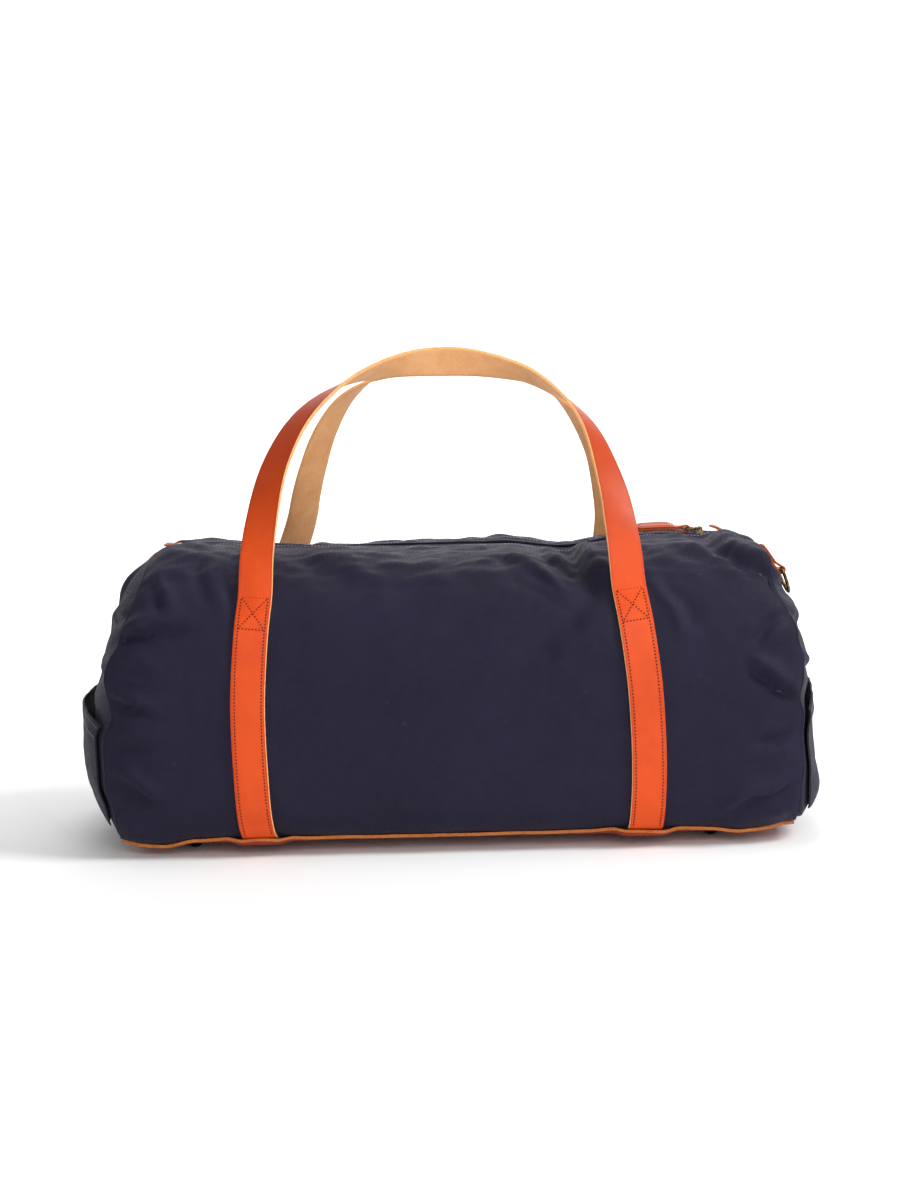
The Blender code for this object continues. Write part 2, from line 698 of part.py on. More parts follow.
def zip_tab(end, collection):
    """Leather tab over the end of the zip."""
    points = []
    for y in np.linspace(-ZIP_TAB_HALF, ZIP_TAB_HALF, 5):
        side = FRONT if y < 0 else BACK
        row = [skin(end * x, HALF_GIRTH - abs(y), side, -(GAP + ZIP_TAB_THICK))
               for x in np.linspace(ZIP_TAB_START, ZIP_TAB_END[end], 4)]
        points.append(row)
    name = END_NAMES[end] + "_zip_tab"
    mesh = grid_mesh(name, points, flip=end == LEFT)
    return leather(solidify(object_from(name, mesh, collection), ZIP_TAB_THICK))


def slider_block(name, half_length, half_width, low, high, collection):
    """Block of the slider between two heights about the zip chain."""
    mesh = box_mesh(name, (SLIDER_REST - half_length, -half_width, CHAIN_HEIGHT + low),
                    (SLIDER_REST + half_length, half_width, CHAIN_HEIGHT + high))
    return object_from(name, mesh, collection)


def slider(collection, cutters):
    """Zip slider: two plates on a post, and two lugs with a pin for the puller."""
    low, high = SLIDER_SLOT, SLIDER_SLOT + SLIDER_PLATE
    body = slider_block("zip_slider", SLIDER_HALF_LENGTH, SLIDER_HALF_WIDTH, low, high, collection)
    lower = slider_block("lower_plate", SLIDER_HALF_LENGTH, SLIDER_HALF_WIDTH, -high, -low, cutters)
    post = slider_block("post", SLIDER_HALF_LENGTH * 0.7, SLIDER_POST, -low - 0.0004, low + 0.0004, cutters)
    boolean(body, post, "UNION")
    boolean(body, lower, "UNION")
    for side in (FRONT, BACK):
        base = high - 0.0004
        loop = [(0.0028, base)] + arc((0.0, PIVOT_RISE), LUG_RADIUS, 0, 180, 7) + [(-0.0028, base)]
        y = side * (LUG_OUTER + LUG_INNER) / 2
        place = Matrix.Translation((SLIDER_REST, y, CHAIN_HEIGHT)) @ SIDE_PLANE
        lug = outline_plate("lug_" + SIDE_NAMES[side], [loop], LUG_OUTER - LUG_INNER, place, cutters)
        boolean(body, to_mesh(lug), "UNION")
    bpy.ops.mesh.primitive_cylinder_add(vertices=10, radius=PIN_RADIUS, depth=LUG_OUTER + LUG_INNER,
                                        location=puller_origin(),
                                        rotation=(math.pi / 2, 0.0, 0.0))
    pin = bpy.context.object
    pin.name = "puller_pin"
    for other in list(pin.users_collection):
        other.objects.unlink(pin)
    cutters.objects.link(pin)
    boolean(body, pin, "UNION")
    return metal(body)


def puller_origin():
    return Vector((SLIDER_REST, 0.0, CHAIN_HEIGHT + PIVOT_RISE))


def zip_puller(collection):
    """Flat eye on the slider's pin, widening to a frame whose far bar carries the leather tab."""
    wide, far = PULLER_BAR_HALF, PULLER_LENGTH
    neck, shoulder = -0.0032, -0.0048
    outer = arc((0.0, 0.0), PULLER_EYE, -90, 90, 7)
    outer += [(neck, PULLER_EYE), (shoulder, wide), (-far - PULLER_WIRE, wide)]
    outer += [(-far - PULLER_WIRE, -wide), (shoulder, -wide), (neck, -PULLER_EYE)]
    window_x, window_y = shoulder - 0.0014, wide - 0.0016
    window = [(window_x, window_y), (window_x, -window_y), (-far + PULLER_WIRE, -window_y),
              (-far + PULLER_WIRE, window_y)]
    place = Matrix.Translation(puller_origin())
    item = outline_plate("zip_puller", [outer, window], 2 * PULLER_WIRE, place, collection)
    return metal(to_mesh(item))


def puller_eye_cutter(puller, cutters):
    """The pin's hole runs across the puller, so the eye is cut from the side."""
    bpy.ops.mesh.primitive_cylinder_add(vertices=12, radius=PIN_RADIUS + GAP, depth=0.03,
                                        location=puller_origin(), rotation=(math.pi / 2, 0.0, 0.0))
    hole = bpy.context.object
    hole.name = "puller_eye_hole"
    for other in list(hole.users_collection):
        other.objects.unlink(hole)
    cutters.objects.link(hole)
    boolean(puller, hole, "DIFFERENCE")


def pull_tab(collection):
    """Leather tab folded round the puller's far bar, its two layers sewn together."""
    bend = PULLER_WIRE * 1.5 + GAP + TAB_LEATHER / 2
    origin = puller_origin() - Vector((PULLER_LENGTH, 0.0, 0.0))
    flat = TAB_LEATHER / 2 + GAP / 2
    path = [(-TAB_LENGTH, flat), (-TAB_THROAT, flat)] + arc((0.0, 0.0), bend, 115, -115, 11)
    path += [(-TAB_THROAT, -flat), (-TAB_LENGTH, -flat)]
    points = [[origin + Vector((x, y, z)) for y in (-TAB_HALF_WIDTH, TAB_HALF_WIDTH)] for x, z in path]
    mesh = grid_mesh("pull_tab", points)
    return leather(solidify(object_from("pull_tab", mesh, collection), TAB_LEATHER, 0.0))


# ---------------------------------------------------------------- D-rings

def dome_height(end, share):
    """Height of a point of the end panel's middle line, by its share of the way up to the rim."""
    scale = shrink(seam_x(end, TOP_HEIGHT))
    return MID_HEIGHT + share * ((TOP_HEIGHT - MID_HEIGHT) * scale - SEAM_TUCK)


def dome_normal(end, height):
    below, above = (dome_point(end, RING_SET[end], height + step) for step in (-0.002, 0.002))
    along = (above - below).normalized()
    return Vector((abs(along.z) * end, 0.0, abs(along.x)))


def ring_seat(end):
    """D-ring bar's centre."""
    height = dome_height(end, RING_SEAT)
    return dome_point(end, RING_SET[end], height) + dome_normal(end, height) * RING_STAND


def d_ring(end, collection):
    """Wire D: a straight bar on the hinge line and a round bow that hangs from it."""
    bar = ring_seat(end)
    down = Vector((end * math.sin(RING_LEAN), 0.0, -math.cos(RING_LEAN)))
    round_depth = RING_DEPTH - 0.004
    bow = [(RING_HALF * math.cos(t), 0.004 + round_depth * math.sin(t))
           for t in np.linspace(0.0, math.pi, 13)]
    outline = [(-RING_HALF + 0.002, 0.0), (RING_HALF - 0.002, 0.0), (RING_HALF, 0.0015)] + bow[:]
    outline += [(-RING_HALF, 0.0015)]
    curve = bpy.data.curves.new(END_NAMES[end] + "_d_ring", "CURVE")
    curve.dimensions = "3D"
    curve.bevel_depth = RING_WIRE
    curve.bevel_resolution = 2
    spline = curve.splines.new("POLY")
    spline.points.add(len(outline) - 1)
    for point, (y, fall) in zip(spline.points, outline):
        point.co = (*(down * fall + Vector((0.0, y, 0.0))), 1.0)
    spline.use_cyclic_u = True
    item = object_from(curve.name, curve, collection)
    item.location = bar
    return metal(item)


def ring_loop(end, collection):
    """Leather strip sewn in at the top of the end seam and folded round the D-ring's bar."""
    bar = ring_seat(end)
    out = dome_normal(end, bar.z)
    along = Vector((-out.z * end, 0.0, abs(out.x)))
    bend = RING_WIRE + 2 * GAP + LOOP_LEATHER / 2
    lift = LOOP_LEATHER / 2 + LOOP_LIFT
    heights = np.linspace(dome_height(end, LOOP_TOP), bar.z + LOOP_NECK, 4)
    under = [dome_point(end, RING_SET[end], z) + dome_normal(end, z) * lift for z in heights]
    over = [point + dome_normal(end, z) * (LOOP_LEATHER + 2 * GAP) for point, z in zip(under, heights)]
    fold = [bar - along * (bend * math.cos(t)) - out * (bend * math.sin(t))
            for t in np.radians(np.linspace(80, -100, 9))]
    path = under + fold + over[::-1]
    points = [[point + Vector((0.0, y, 0.0)) for y in (-LOOP_HALF, LOOP_HALF)] for point in path]
    name = END_NAMES[end] + "_ring_loop"
    mesh = grid_mesh(name, points)
    return leather(solidify(object_from(name, mesh, collection), LOOP_LEATHER, 0.0))


# ---------------------------------------------------------------- assembly

def hinge_empty(name, place, children, collection):
    """Empty on a joint's axis that carries the pieces which turn about it."""
    pivot = bpy.data.objects.new(name, None)
    pivot.empty_display_size = 0.02
    pivot.location = place
    collection.objects.link(pivot)
    for child in children:
        child.parent = pivot
        child.matrix_parent_inverse = Matrix.Translation(place).inverted()
    return pivot


def main():
    clear_scene()
    bag = new_collection("weekender_bag")
    cutters = new_collection("cutters")
    holes = shank_cutters(cutters)
    drilled = [base_panel(bag), bottom_panel(bag), base_board(bag)]
    for piece in drilled:
        for hole in holes:
            boolean(piece, hole, "DIFFERENCE")
    for name, place in foot_places():
        foot(name, place, bag)
        washer(name, place, bag)
    for end in (LEFT, RIGHT):
        end_panel(end, bag)
        end_pocket(end, bag)
        seam_binding(end, bag)
        zip_end(end, bag)
        zip_stop(end, bag)
        zip_tab(end, bag)
        ring_loop(end, bag)
        ring = d_ring(end, bag)
        hinge_empty(END_NAMES[end] + "_ring_axis", ring_seat(end), [ring], bag)
    for side in (FRONT, BACK):
        side_panel(side, bag)
        for end in (LEFT, RIGHT):
            sewn_strap(side, end, bag)
        lips = [mouth_panel(side, bag), zip_tape(side, bag), zip_teeth(side, bag)]
        hinge = skin(0.0, HINGE_GIRTH, side, CANVAS / 2)
        hinge_empty(SIDE_NAMES[side] + "_mouth_axis", hinge, lips, bag)
        fold = (0.0, *fold_line(side, STRAP_THICK + FOLD_STAND))
        hinge_empty(SIDE_NAMES[side] + "_handle_axis", fold, [handle(side, bag)], bag)
    slider(bag, cutters)
    puller = zip_puller(bag)
    puller_eye_cutter(puller, cutters)
    tab = pull_tab(bag)
    far_bar = hinge_empty("pull_tab_axis", puller_origin() - Vector((PULLER_LENGTH, 0.0, 0.0)), [tab], bag)
    hinge_empty("puller_axis", puller_origin(), [puller, far_bar], bag)


main()
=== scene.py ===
"""Looks of the weekender bag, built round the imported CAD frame.

Frame: X along the bag, -Y towards the front, +Z up, origin on the floor. Every length is in metres.
"""
import math

import bmesh
import bpy
import numpy as np
from mathutils import Matrix, Vector, noise


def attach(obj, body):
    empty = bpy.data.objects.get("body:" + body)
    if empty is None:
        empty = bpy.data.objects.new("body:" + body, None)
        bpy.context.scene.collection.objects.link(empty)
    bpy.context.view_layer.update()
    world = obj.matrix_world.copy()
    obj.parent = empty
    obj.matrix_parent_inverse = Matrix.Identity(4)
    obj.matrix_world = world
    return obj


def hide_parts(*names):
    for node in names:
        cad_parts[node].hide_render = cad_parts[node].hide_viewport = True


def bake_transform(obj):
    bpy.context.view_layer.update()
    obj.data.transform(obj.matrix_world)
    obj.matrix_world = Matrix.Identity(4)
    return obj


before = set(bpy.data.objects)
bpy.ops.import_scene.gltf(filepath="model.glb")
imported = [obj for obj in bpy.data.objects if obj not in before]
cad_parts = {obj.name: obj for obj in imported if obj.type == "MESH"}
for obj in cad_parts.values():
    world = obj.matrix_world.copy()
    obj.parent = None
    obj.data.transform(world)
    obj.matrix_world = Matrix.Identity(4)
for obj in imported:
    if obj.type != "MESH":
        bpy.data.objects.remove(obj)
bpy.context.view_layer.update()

FRONT, BACK = -1, 1
LEFT, RIGHT = -1, 1
SIDE_NAMES = {FRONT: "front", BACK: "back"}
END_NAMES = {LEFT: "left", RIGHT: "right"}

# The CAD's own numbers: body section and length
GAP = 0.0003
HALF_DEPTH = 0.136
BOTTOM_HEIGHT = 0.0095
MID_HEIGHT = 0.105
TOP_HEIGHT = 0.245
LOWER_ROUND, UPPER_ROUND = 8.0, 3.0
FLAT_HALF = 0.215
SEAM_HALF = 0.268
SEAM_LEAN = {LEFT: 0.024, RIGHT: 0.008}
DOME_HALF = 0.297
DOME_ROUND = 3.5
END_TAPER = 0.04
SEAM_TUCK = 0.0026

# Base
BASE_LEATHER = 0.0025
BASE_SEAM = 0.112
BASE_EDGE_HEIGHT = 0.0175
FOOT_PLACE = (0.213, 0.086)
FOOT_RADIUS = 0.00675
FOOT_HEIGHT = 0.0068

# Straps and handles
STRAP_WIDTH = 0.0275
STRAP_THICK = 0.0032
STRAP_SPREAD = 0.158
STRAP_SHIFT = -0.002
STRAP_PINCH = 0.007
FOLD_HEIGHT = 0.208
HANDLE_START = 0.0005
HANDLE_RISE = 0.1835
HANDLE_LEAN = 0.060
HANDLE_ROUND = 2.3
HANDLE_TWIST = math.radians(136)
TWIST_SHARE = {LEFT: ((0.0, 0.28, 0.44, 0.615, 0.80, 1.0), (0.0, 0.20, 0.29, 0.41, 0.68, 1.0)),
               RIGHT: ((0.0, 0.25, 0.50, 0.75, 1.0), (0.0, 0.22, 0.47, 0.73, 1.0))}
HANDLE_SHIFT = {FRONT: 0.0, BACK: 0.010}

# Mouth and zip
MOUTH_HALF = 0.163
MOUTH_SLOT = 0.0065
TAPE_OUTER = 0.0165
CHAIN_HEIGHT = TOP_HEIGHT - 0.0038
CHAIN_HALF = 0.2295
SLIDER_REST = 0.219
PIVOT_RISE = 0.0078
PULLER_LENGTH = 0.0120
PULLER_WIRE = 0.0011
TAB_LENGTH = 0.042
TAB_HALF_WIDTH = 0.0064
TAB_LEATHER = 0.0015

# End fittings and pockets
ZIP_TAB_START = 0.2287
ZIP_TAB_END = {LEFT: 0.2415, RIGHT: 0.2480}
ZIP_TAB_HALF = 0.011
ZIP_TAB_THICK = 0.0022
RING_WIRE = 0.0015
RING_HALF = 0.0125
RING_DEPTH = 0.021
RING_SEAT = 0.78
RING_STAND = 0.0068
RING_LEAN = math.radians(20)
LOOP_LEATHER = 0.0016
LOOP_HALF = 0.0088
LOOP_LIFT = 0.0022
LOOP_NECK = 0.0040
LOOP_TOP = 0.94
POCKET_CANVAS = 0.0016
POCKET_FOOT = 0.026
POCKET_MOUTH = 0.124
POCKET_MOUTH_DIP = 0.016
POCKET_BULGE = 0.0080
POCKET_LIFT = 0.0028
POCKET_EDGE = 0.955


# ---------------------------------------------------------------- surfaces of the CAD frame

def half_outline(samples=600):
    """Half a section as (out, up) arrays, from the bottom's middle to the top's middle."""
    turn = np.linspace(-math.pi / 2, math.pi / 2, samples)
    low = turn < 0
    power = np.where(low, 2 / LOWER_ROUND, 2 / UPPER_ROUND)
    rise = np.where(low, MID_HEIGHT - BOTTOM_HEIGHT, TOP_HEIGHT - MID_HEIGHT)
    out = HALF_DEPTH * np.abs(np.cos(turn)) ** power
    up = MID_HEIGHT + rise * np.sign(turn) * np.abs(np.sin(turn)) ** power
    out[0] = out[-1] = 0.0
    return out, up


OUT, UP = half_outline()
REACH = np.concatenate(([0.0], np.cumsum(np.hypot(np.diff(OUT), np.diff(UP)))))
HALF_GIRTH = float(REACH[-1])


def girth_at(height):
    """Length along the section from the bottom's middle up to a height."""
    return np.interp(height, UP, REACH)


SLOT_GIRTH = HALF_GIRTH - MOUTH_SLOT
FOLD_GIRTH = float(girth_at(FOLD_HEIGHT))


def section(girth, inset=0.0):
    """Points (out, up) of the section at girths, moved towards the inside by inset."""
    step = 0.002
    before, after = np.maximum(0.0, girth - step), np.minimum(HALF_GIRTH, girth + step)
    run = np.interp(after, REACH, OUT) - np.interp(before, REACH, OUT)
    climb = np.interp(after, REACH, UP) - np.interp(before, REACH, UP)
    length = np.hypot(run, climb)
    out = np.interp(girth, REACH, OUT) - inset * climb / length
    up = np.interp(girth, REACH, UP) + inset * run / length
    return out, up


def shrink(x):
    """Scale of the section towards the ends of the bag."""
    beyond = np.clip((np.abs(x) - FLAT_HALF) / (SEAM_HALF - FLAT_HALF), 0.0, 1.0)
    return 1.0 - END_TAPER * beyond ** 2


def skin(x, girth, side, inset=0.0):
    """Points on the barrel's surface, as an array whose last axis is x, y, z."""
    x, girth, inset = np.broadcast_arrays(x, girth, inset)
    out, up = section(girth, inset)
    scale = shrink(x)
    return np.stack([x, side * out * scale, MID_HEIGHT + (up - MID_HEIGHT) * scale], -1)


def smooth(low, high, value):
    """0 at low and below, 1 at high and above, with a smooth rise between."""
    share = np.clip((value - low) / (high - low), 0.0, 1.0)
    return share * share * (3 - 2 * share)


TABLE_HEIGHTS = np.arange(-0.05, 0.46, 0.001)


def table(marks, spread):
    """A smooth curve over heights through (height, value) marks."""
    heights, values = np.array(marks).T
    rough = np.interp(TABLE_HEIGHTS, heights, values)
    bell = np.exp(-(np.arange(-40, 41) * 0.001 / spread) ** 2 / 2)
    return np.convolve(np.pad(rough, 40, mode="edge"), bell / bell.sum(), mode="valid")


# Outward wander of each end seam, and sideways lean of each strap, over height
SEAM_WANDER = {
    LEFT: table(((0.020, 0.001), (0.039, 0.002), (0.054, 0.008), (0.098, 0.009), (0.105, 0.006), (0.113, 0.0),
                 (0.127, 0.002), (0.146, 0.0065), (0.164, 0.004), (0.175, -0.0015), (0.194, 0.0)), 0.0035),
    RIGHT: table(((0.020, 0.010), (0.040, 0.0115), (0.060, 0.014), (0.085, 0.012), (0.105, 0.0145),
                  (0.120, 0.010), (0.135, 0.0145), (0.155, 0.014), (0.166, 0.011), (0.178, 0.0120),
                  (0.192, 0.0065), (0.205, 0.0010), (0.220, 0.0010), (0.232, 0.0040), (0.238, 0.0040),
                  (0.243, 0.0), (0.245, 0.0)), 0.0035)}
STRAP_LEAN = {
    (FRONT, LEFT): table(((0.010, 0.0018), (0.030, 0.0), (0.275, 0.0), (0.296, -0.0016), (0.312, -0.0032),
                          (0.329, -0.0042), (0.345, -0.0058), (0.362, -0.0064), (0.385, -0.004)), 0.007),
    (FRONT, RIGHT): table(((0.010, 0.003), (0.045, 0.003), (0.090, 0.0014), (0.130, 0.0), (0.170, -0.0018),
                           (0.210, -0.0038), (0.263, -0.0048), (0.280, -0.0034), (0.296, -0.0024),
                           (0.312, -0.0006), (0.329, 0.0026), (0.345, 0.0056), (0.380, 0.0072)), 0.007),
    (BACK, LEFT): table(((0.195, 0.0), (0.225, 0.0075), (0.246, 0.0092), (0.292, 0.0085), (0.311, 0.0072),
                         (0.329, 0.0040), (0.348, 0.0014), (0.367, -0.0034), (0.390, -0.0030)), 0.007),
    (BACK, RIGHT): table(((0.195, 0.0), (0.235, -0.0030), (0.270, -0.0045), (0.292, -0.0030), (0.315, 0.0)),
                         0.007)}


def lean(side, end, height):
    """Sideways lean of a strap and its handle at a height."""
    return np.interp(height, TABLE_HEIGHTS, STRAP_LEAN[side, end])


def plain_seam(end, height):
    """Where the end seam of an evenly filled bag lies at a height."""
    return SEAM_HALF - SEAM_LEAN[end] * smooth(0.150, TOP_HEIGHT, height)


def seam_x(end, height):
    """Where the end seam lies at a height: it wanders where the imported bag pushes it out."""
    return plain_seam(end, height) + np.interp(height, TABLE_HEIGHTS, SEAM_WANDER[end])


def dome_point(end, y, z, stand=0.0):
    """Points over an end panel at (y, z), a distance stand outside it."""
    y, z, stand = np.broadcast_arrays(y, z, stand)
    scale = shrink(plain_seam(end, z))
    above = z > MID_HEIGHT
    rise = np.where(above, TOP_HEIGHT - MID_HEIGHT, MID_HEIGHT - BOTTOM_HEIGHT)
    power = np.where(above, UPPER_ROUND, LOWER_ROUND)
    wide, tall = HALF_DEPTH * scale - SEAM_TUCK, rise * scale - SEAM_TUCK
    share = ((np.abs(y) / wide) ** power + (np.abs(z - MID_HEIGHT) / tall) ** power) ** (1 / power)
    rim_height = MID_HEIGHT + (z - MID_HEIGHT) / np.maximum(share, 0.05)
    rim = np.where(z > 0.18, plain_seam(end, rim_height), seam_x(end, rim_height)) + 0.001
    bulge = (DOME_HALF - rim) * (1 - np.minimum(share, 1.0) ** DOME_ROUND)
    return np.stack([end * (rim + bulge + stand), y, z], -1)


def strap_x(side, end, height):
    """Middle of a sewn strap at a height."""
    return STRAP_SHIFT + end * strap_centre(height) + lean(side, end, height)


def strap_centre(height):
    """Distance of a sewn strap from the bag's middle at a height."""
    return STRAP_SPREAD - STRAP_PINCH * ((height - 0.100) / (FOLD_HEIGHT - 0.100)) ** 2


def fold_line(side):
    """(y, z) of the line that a handle folds about, at the strap's mid thickness."""
    point = skin(0.0, FOLD_GIRTH, side, -(GAP + STRAP_THICK / 2))
    return float(point[1]), float(point[2])


# ---------------------------------------------------------------- mesh helpers

CRISP = 50                  # degrees; sharper edges keep their crease in the shading
STITCH_SIGHT = 0.0005       # half the length over which a stitch takes its direction

def link(name, mesh):
    item = bpy.data.objects.new(name, mesh)
    bpy.context.scene.collection.objects.link(item)
    return item


def shade(item, angle=None):
    """Smooth shading, with edges sharper than an angle in degrees kept crisp."""
    item.data.polygons.foreach_set("use_smooth", np.ones(len(item.data.polygons), bool))
    if angle is not None:
        item.data.set_sharp_from_angle(angle=math.radians(angle))
    return item


def mesh_of(name, points, faces, kinds=None):
    """Mesh of points and faces; kinds holds each face's material number."""
    mesh = bpy.data.meshes.new(name)
    mesh.from_pydata([tuple(p) for p in points], [], [tuple(int(i) for i in f) for f in faces])
    if kinds is not None:
        mesh.polygons.foreach_set("material_index", np.asarray(kinds, np.int32))
    mesh.validate()
    return mesh


def solid(name, points, faces, kinds, materials, angle=None, marks=None):
    """Closed, outward-facing object. marks holds named values, one for each point."""
    mesh = mesh_of(name, points, faces, kinds)
    for key, values in (marks or {}).items():
        layer = mesh.attributes.new(key, "FLOAT", "POINT")
        layer.data.foreach_set("value", np.asarray(values, np.float32).reshape(-1))
    item = shade(link(name, mesh), angle)
    face_outwards(item)
    for material in materials:
        mesh.materials.append(material)
    return item


def belong(item, body, slot, *nodes):
    """Sets the body that a piece rides on and hides the CAD nodes that it replaces; slot is not used."""
    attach(item, body)
    if nodes:
        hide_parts(*nodes)


def grid_faces(rows, columns, wrap_rows=False, wrap_columns=False, start=0):
    """Quads of a grid whose point (i, j) has the index start + i * columns + j."""
    i, j = np.meshgrid(np.arange(rows if wrap_rows else rows - 1),
                       np.arange(columns if wrap_columns else columns - 1), indexing="ij")
    i2, j2 = (i + 1) % rows, (j + 1) % columns
    quads = np.stack([i * columns + j, i * columns + j2, i2 * columns + j2, i2 * columns + j], -1)
    return quads.reshape(-1, 4) + start


def normals(points):
    """Unit normals of a grid of points (rows x columns x 3)."""
    down = np.gradient(points, axis=0)
    along = np.gradient(points, axis=1)
    cross = np.cross(along, down)
    return cross / np.maximum(np.linalg.norm(cross, axis=-1, keepdims=True), 1e-12)


def shell(name, outer, inner, materials, marks):
    """Closed shell between two grids of points; its faces are 0 outside, 1 inside and 2 at the edges."""
    rows, columns = outer.shape[:2]
    count = rows * columns
    faces = [grid_faces(rows, columns), grid_faces(rows, columns, start=count)[:, ::-1]]
    index = np.arange(count).reshape(rows, columns)
    rim = np.concatenate((index[0], index[1:, -1], index[-1, -2::-1], index[-2:0:-1, 0]))
    ahead = np.roll(rim, -1)
    faces.append(np.stack([ahead, rim, rim + count, ahead + count], -1))
    kinds = np.concatenate([np.full(len(f), k) for k, f in enumerate(faces)])
    points = np.concatenate([outer.reshape(-1, 3), inner.reshape(-1, 3)])
    marks = {key: np.tile(np.ravel(values), 2) for key, values in marks.items()}
    return solid(name, points, np.concatenate(faces), kinds, materials, CRISP, marks)


def face_outwards(item):
    """Turns the faces of a closed piece outwards."""
    build = bmesh.new()
    build.from_mesh(item.data)
    if build.calc_volume(signed=True) < 0:
        bmesh.ops.reverse_faces(build, faces=build.faces)
        build.to_mesh(item.data)
    build.free()


def sweep(name, centres, across, outward, profile, materials, kinds=None, closed=False, marks=None):
    """Solid swept along centres: profile is a loop of (across, outward) pairs, the same at each place,
    or one loop for each place. kinds gives a material number for each profile step."""
    centres, across, outward = (np.asarray(a, float) for a in (centres, across, outward))
    profile = np.asarray(profile, float)
    if profile.ndim == 2:
        profile = np.broadcast_to(profile, (len(centres), *profile.shape))
    points = (centres[:, None] + across[:, None] * profile[..., :1] + outward[:, None] * profile[..., 1:])
    rows, columns = points.shape[:2]
    faces = [tuple(f) for f in grid_faces(rows, columns, wrap_rows=closed, wrap_columns=True)]
    kind = list(np.tile(kinds if kinds is not None else np.zeros(columns, int), rows if closed else rows - 1))
    if not closed:
        faces += [tuple(range(columns))[::-1], tuple((rows - 1) * columns + k for k in range(columns))]
        kind += [max(kind)] * 2
    return solid(name, points.reshape(-1, 3), faces, kind, materials, CRISP, marks)


def arc(centre, radius, start, end, count):
    turns = np.radians(np.linspace(start, end, count))
    return [(centre[0] + radius * math.cos(t), centre[1] + radius * math.sin(t)) for t in turns]


def round_strip(half_width, half_thick, radius, across_steps=8, corner_steps=3):
    """Profile loop of a flat strip with rounded corners, from its inner face round to its outer face.
    Returns the loop and the kind of each step: 0 outer face, 1 inner face, 2 edge."""
    reach, rise, count = half_width - radius, half_thick - radius, corner_steps + 1
    run = np.linspace(reach, -reach, across_steps + 1)[1:-1]
    right = arc((reach, -rise), radius, -90, 0, count) + arc((reach, rise), radius, 0, 90, count)
    left = arc((-reach, rise), radius, 90, 180, count) + arc((-reach, -rise), radius, 180, 270, count)
    loop = right + [(x, half_thick) for x in run] + left + [(-x, -half_thick) for x in run]
    edge = [2] * (2 * count - 1)
    return np.array(loop), np.array(edge + [0] * across_steps + edge + [1] * across_steps)


def stitches(name, places, material, length=0.0021, radius=0.00030, sink=0.10):
    """Row of thread stitches in one mesh. places are (point, direction, outward) triples."""
    rings = ((-1.0, 0.25), (-0.86, 0.72), (-0.45, 1.0), (0.45, 1.0), (0.86, 0.72), (1.0, 0.25))
    sides = 6
    points, faces = [], []
    for point, ahead, outward in places:
        point, ahead, outward = (np.asarray(v, float) for v in (point, ahead, outward))
        ahead = ahead / np.linalg.norm(ahead)
        outward = outward - ahead * outward.dot(ahead)
        outward = outward / np.linalg.norm(outward)
        beside = np.cross(ahead, outward)
        start = len(points)
        for place, wide in rings:
            drop = radius * (sink + 0.9 * place * place)
            for k in range(sides):
                turn = 2 * math.pi * k / sides
                points.append(point + ahead * (place * length / 2) + outward * (radius * (1 - sink) - drop)
                              + (beside * math.cos(turn) + outward * math.sin(turn)) * (radius * wide))
        faces += [tuple(f) for f in grid_faces(len(rings), sides, wrap_columns=True, start=start)]
        faces.append(tuple(start + k for k in range(sides))[::-1])
        faces.append(tuple(start + (len(rings) - 1) * sides + k for k in range(sides)))
    return solid(name, points, faces, None, [material])


def lengths_of(path):
    """Length run at each point of a path."""
    return np.concatenate(([0.0], np.cumsum(np.linalg.norm(np.diff(path, axis=0), axis=1))))


def at(marks, lengths, vectors):
    """Vectors known at lengths, read off at marks."""
    return np.stack([np.interp(marks, lengths, vectors[:, k]) for k in range(3)], -1)


def resample(path, step):
    """The same line with points at an even step."""
    lengths = lengths_of(path)
    return at(np.linspace(0.0, lengths[-1], max(3, int(lengths[-1] / step))), lengths, path)


def unit(vectors):
    return vectors / np.maximum(np.linalg.norm(vectors, axis=-1, keepdims=True), 1e-12)


def square_to(path, up):
    """Directions along a path, and those nearest to up that are square to it."""
    ahead = unit(np.gradient(path, axis=0))
    return ahead, unit(up - ahead * (up * ahead).sum(1, keepdims=True))


def along_line(path, outward, pitch):
    """Stitch places at an even pitch along a path of points with outward directions."""
    outward = np.broadcast_to(np.asarray(outward, float), path.shape)
    lengths = lengths_of(path)
    marks = np.arange(pitch / 2, lengths[-1], pitch)
    ahead = at(marks + STITCH_SIGHT, lengths, path) - at(marks - STITCH_SIGHT, lengths, path)
    return list(zip(at(marks, lengths, path), ahead, at(marks, lengths, outward)))


# ---------------------------------------------------------------- materials

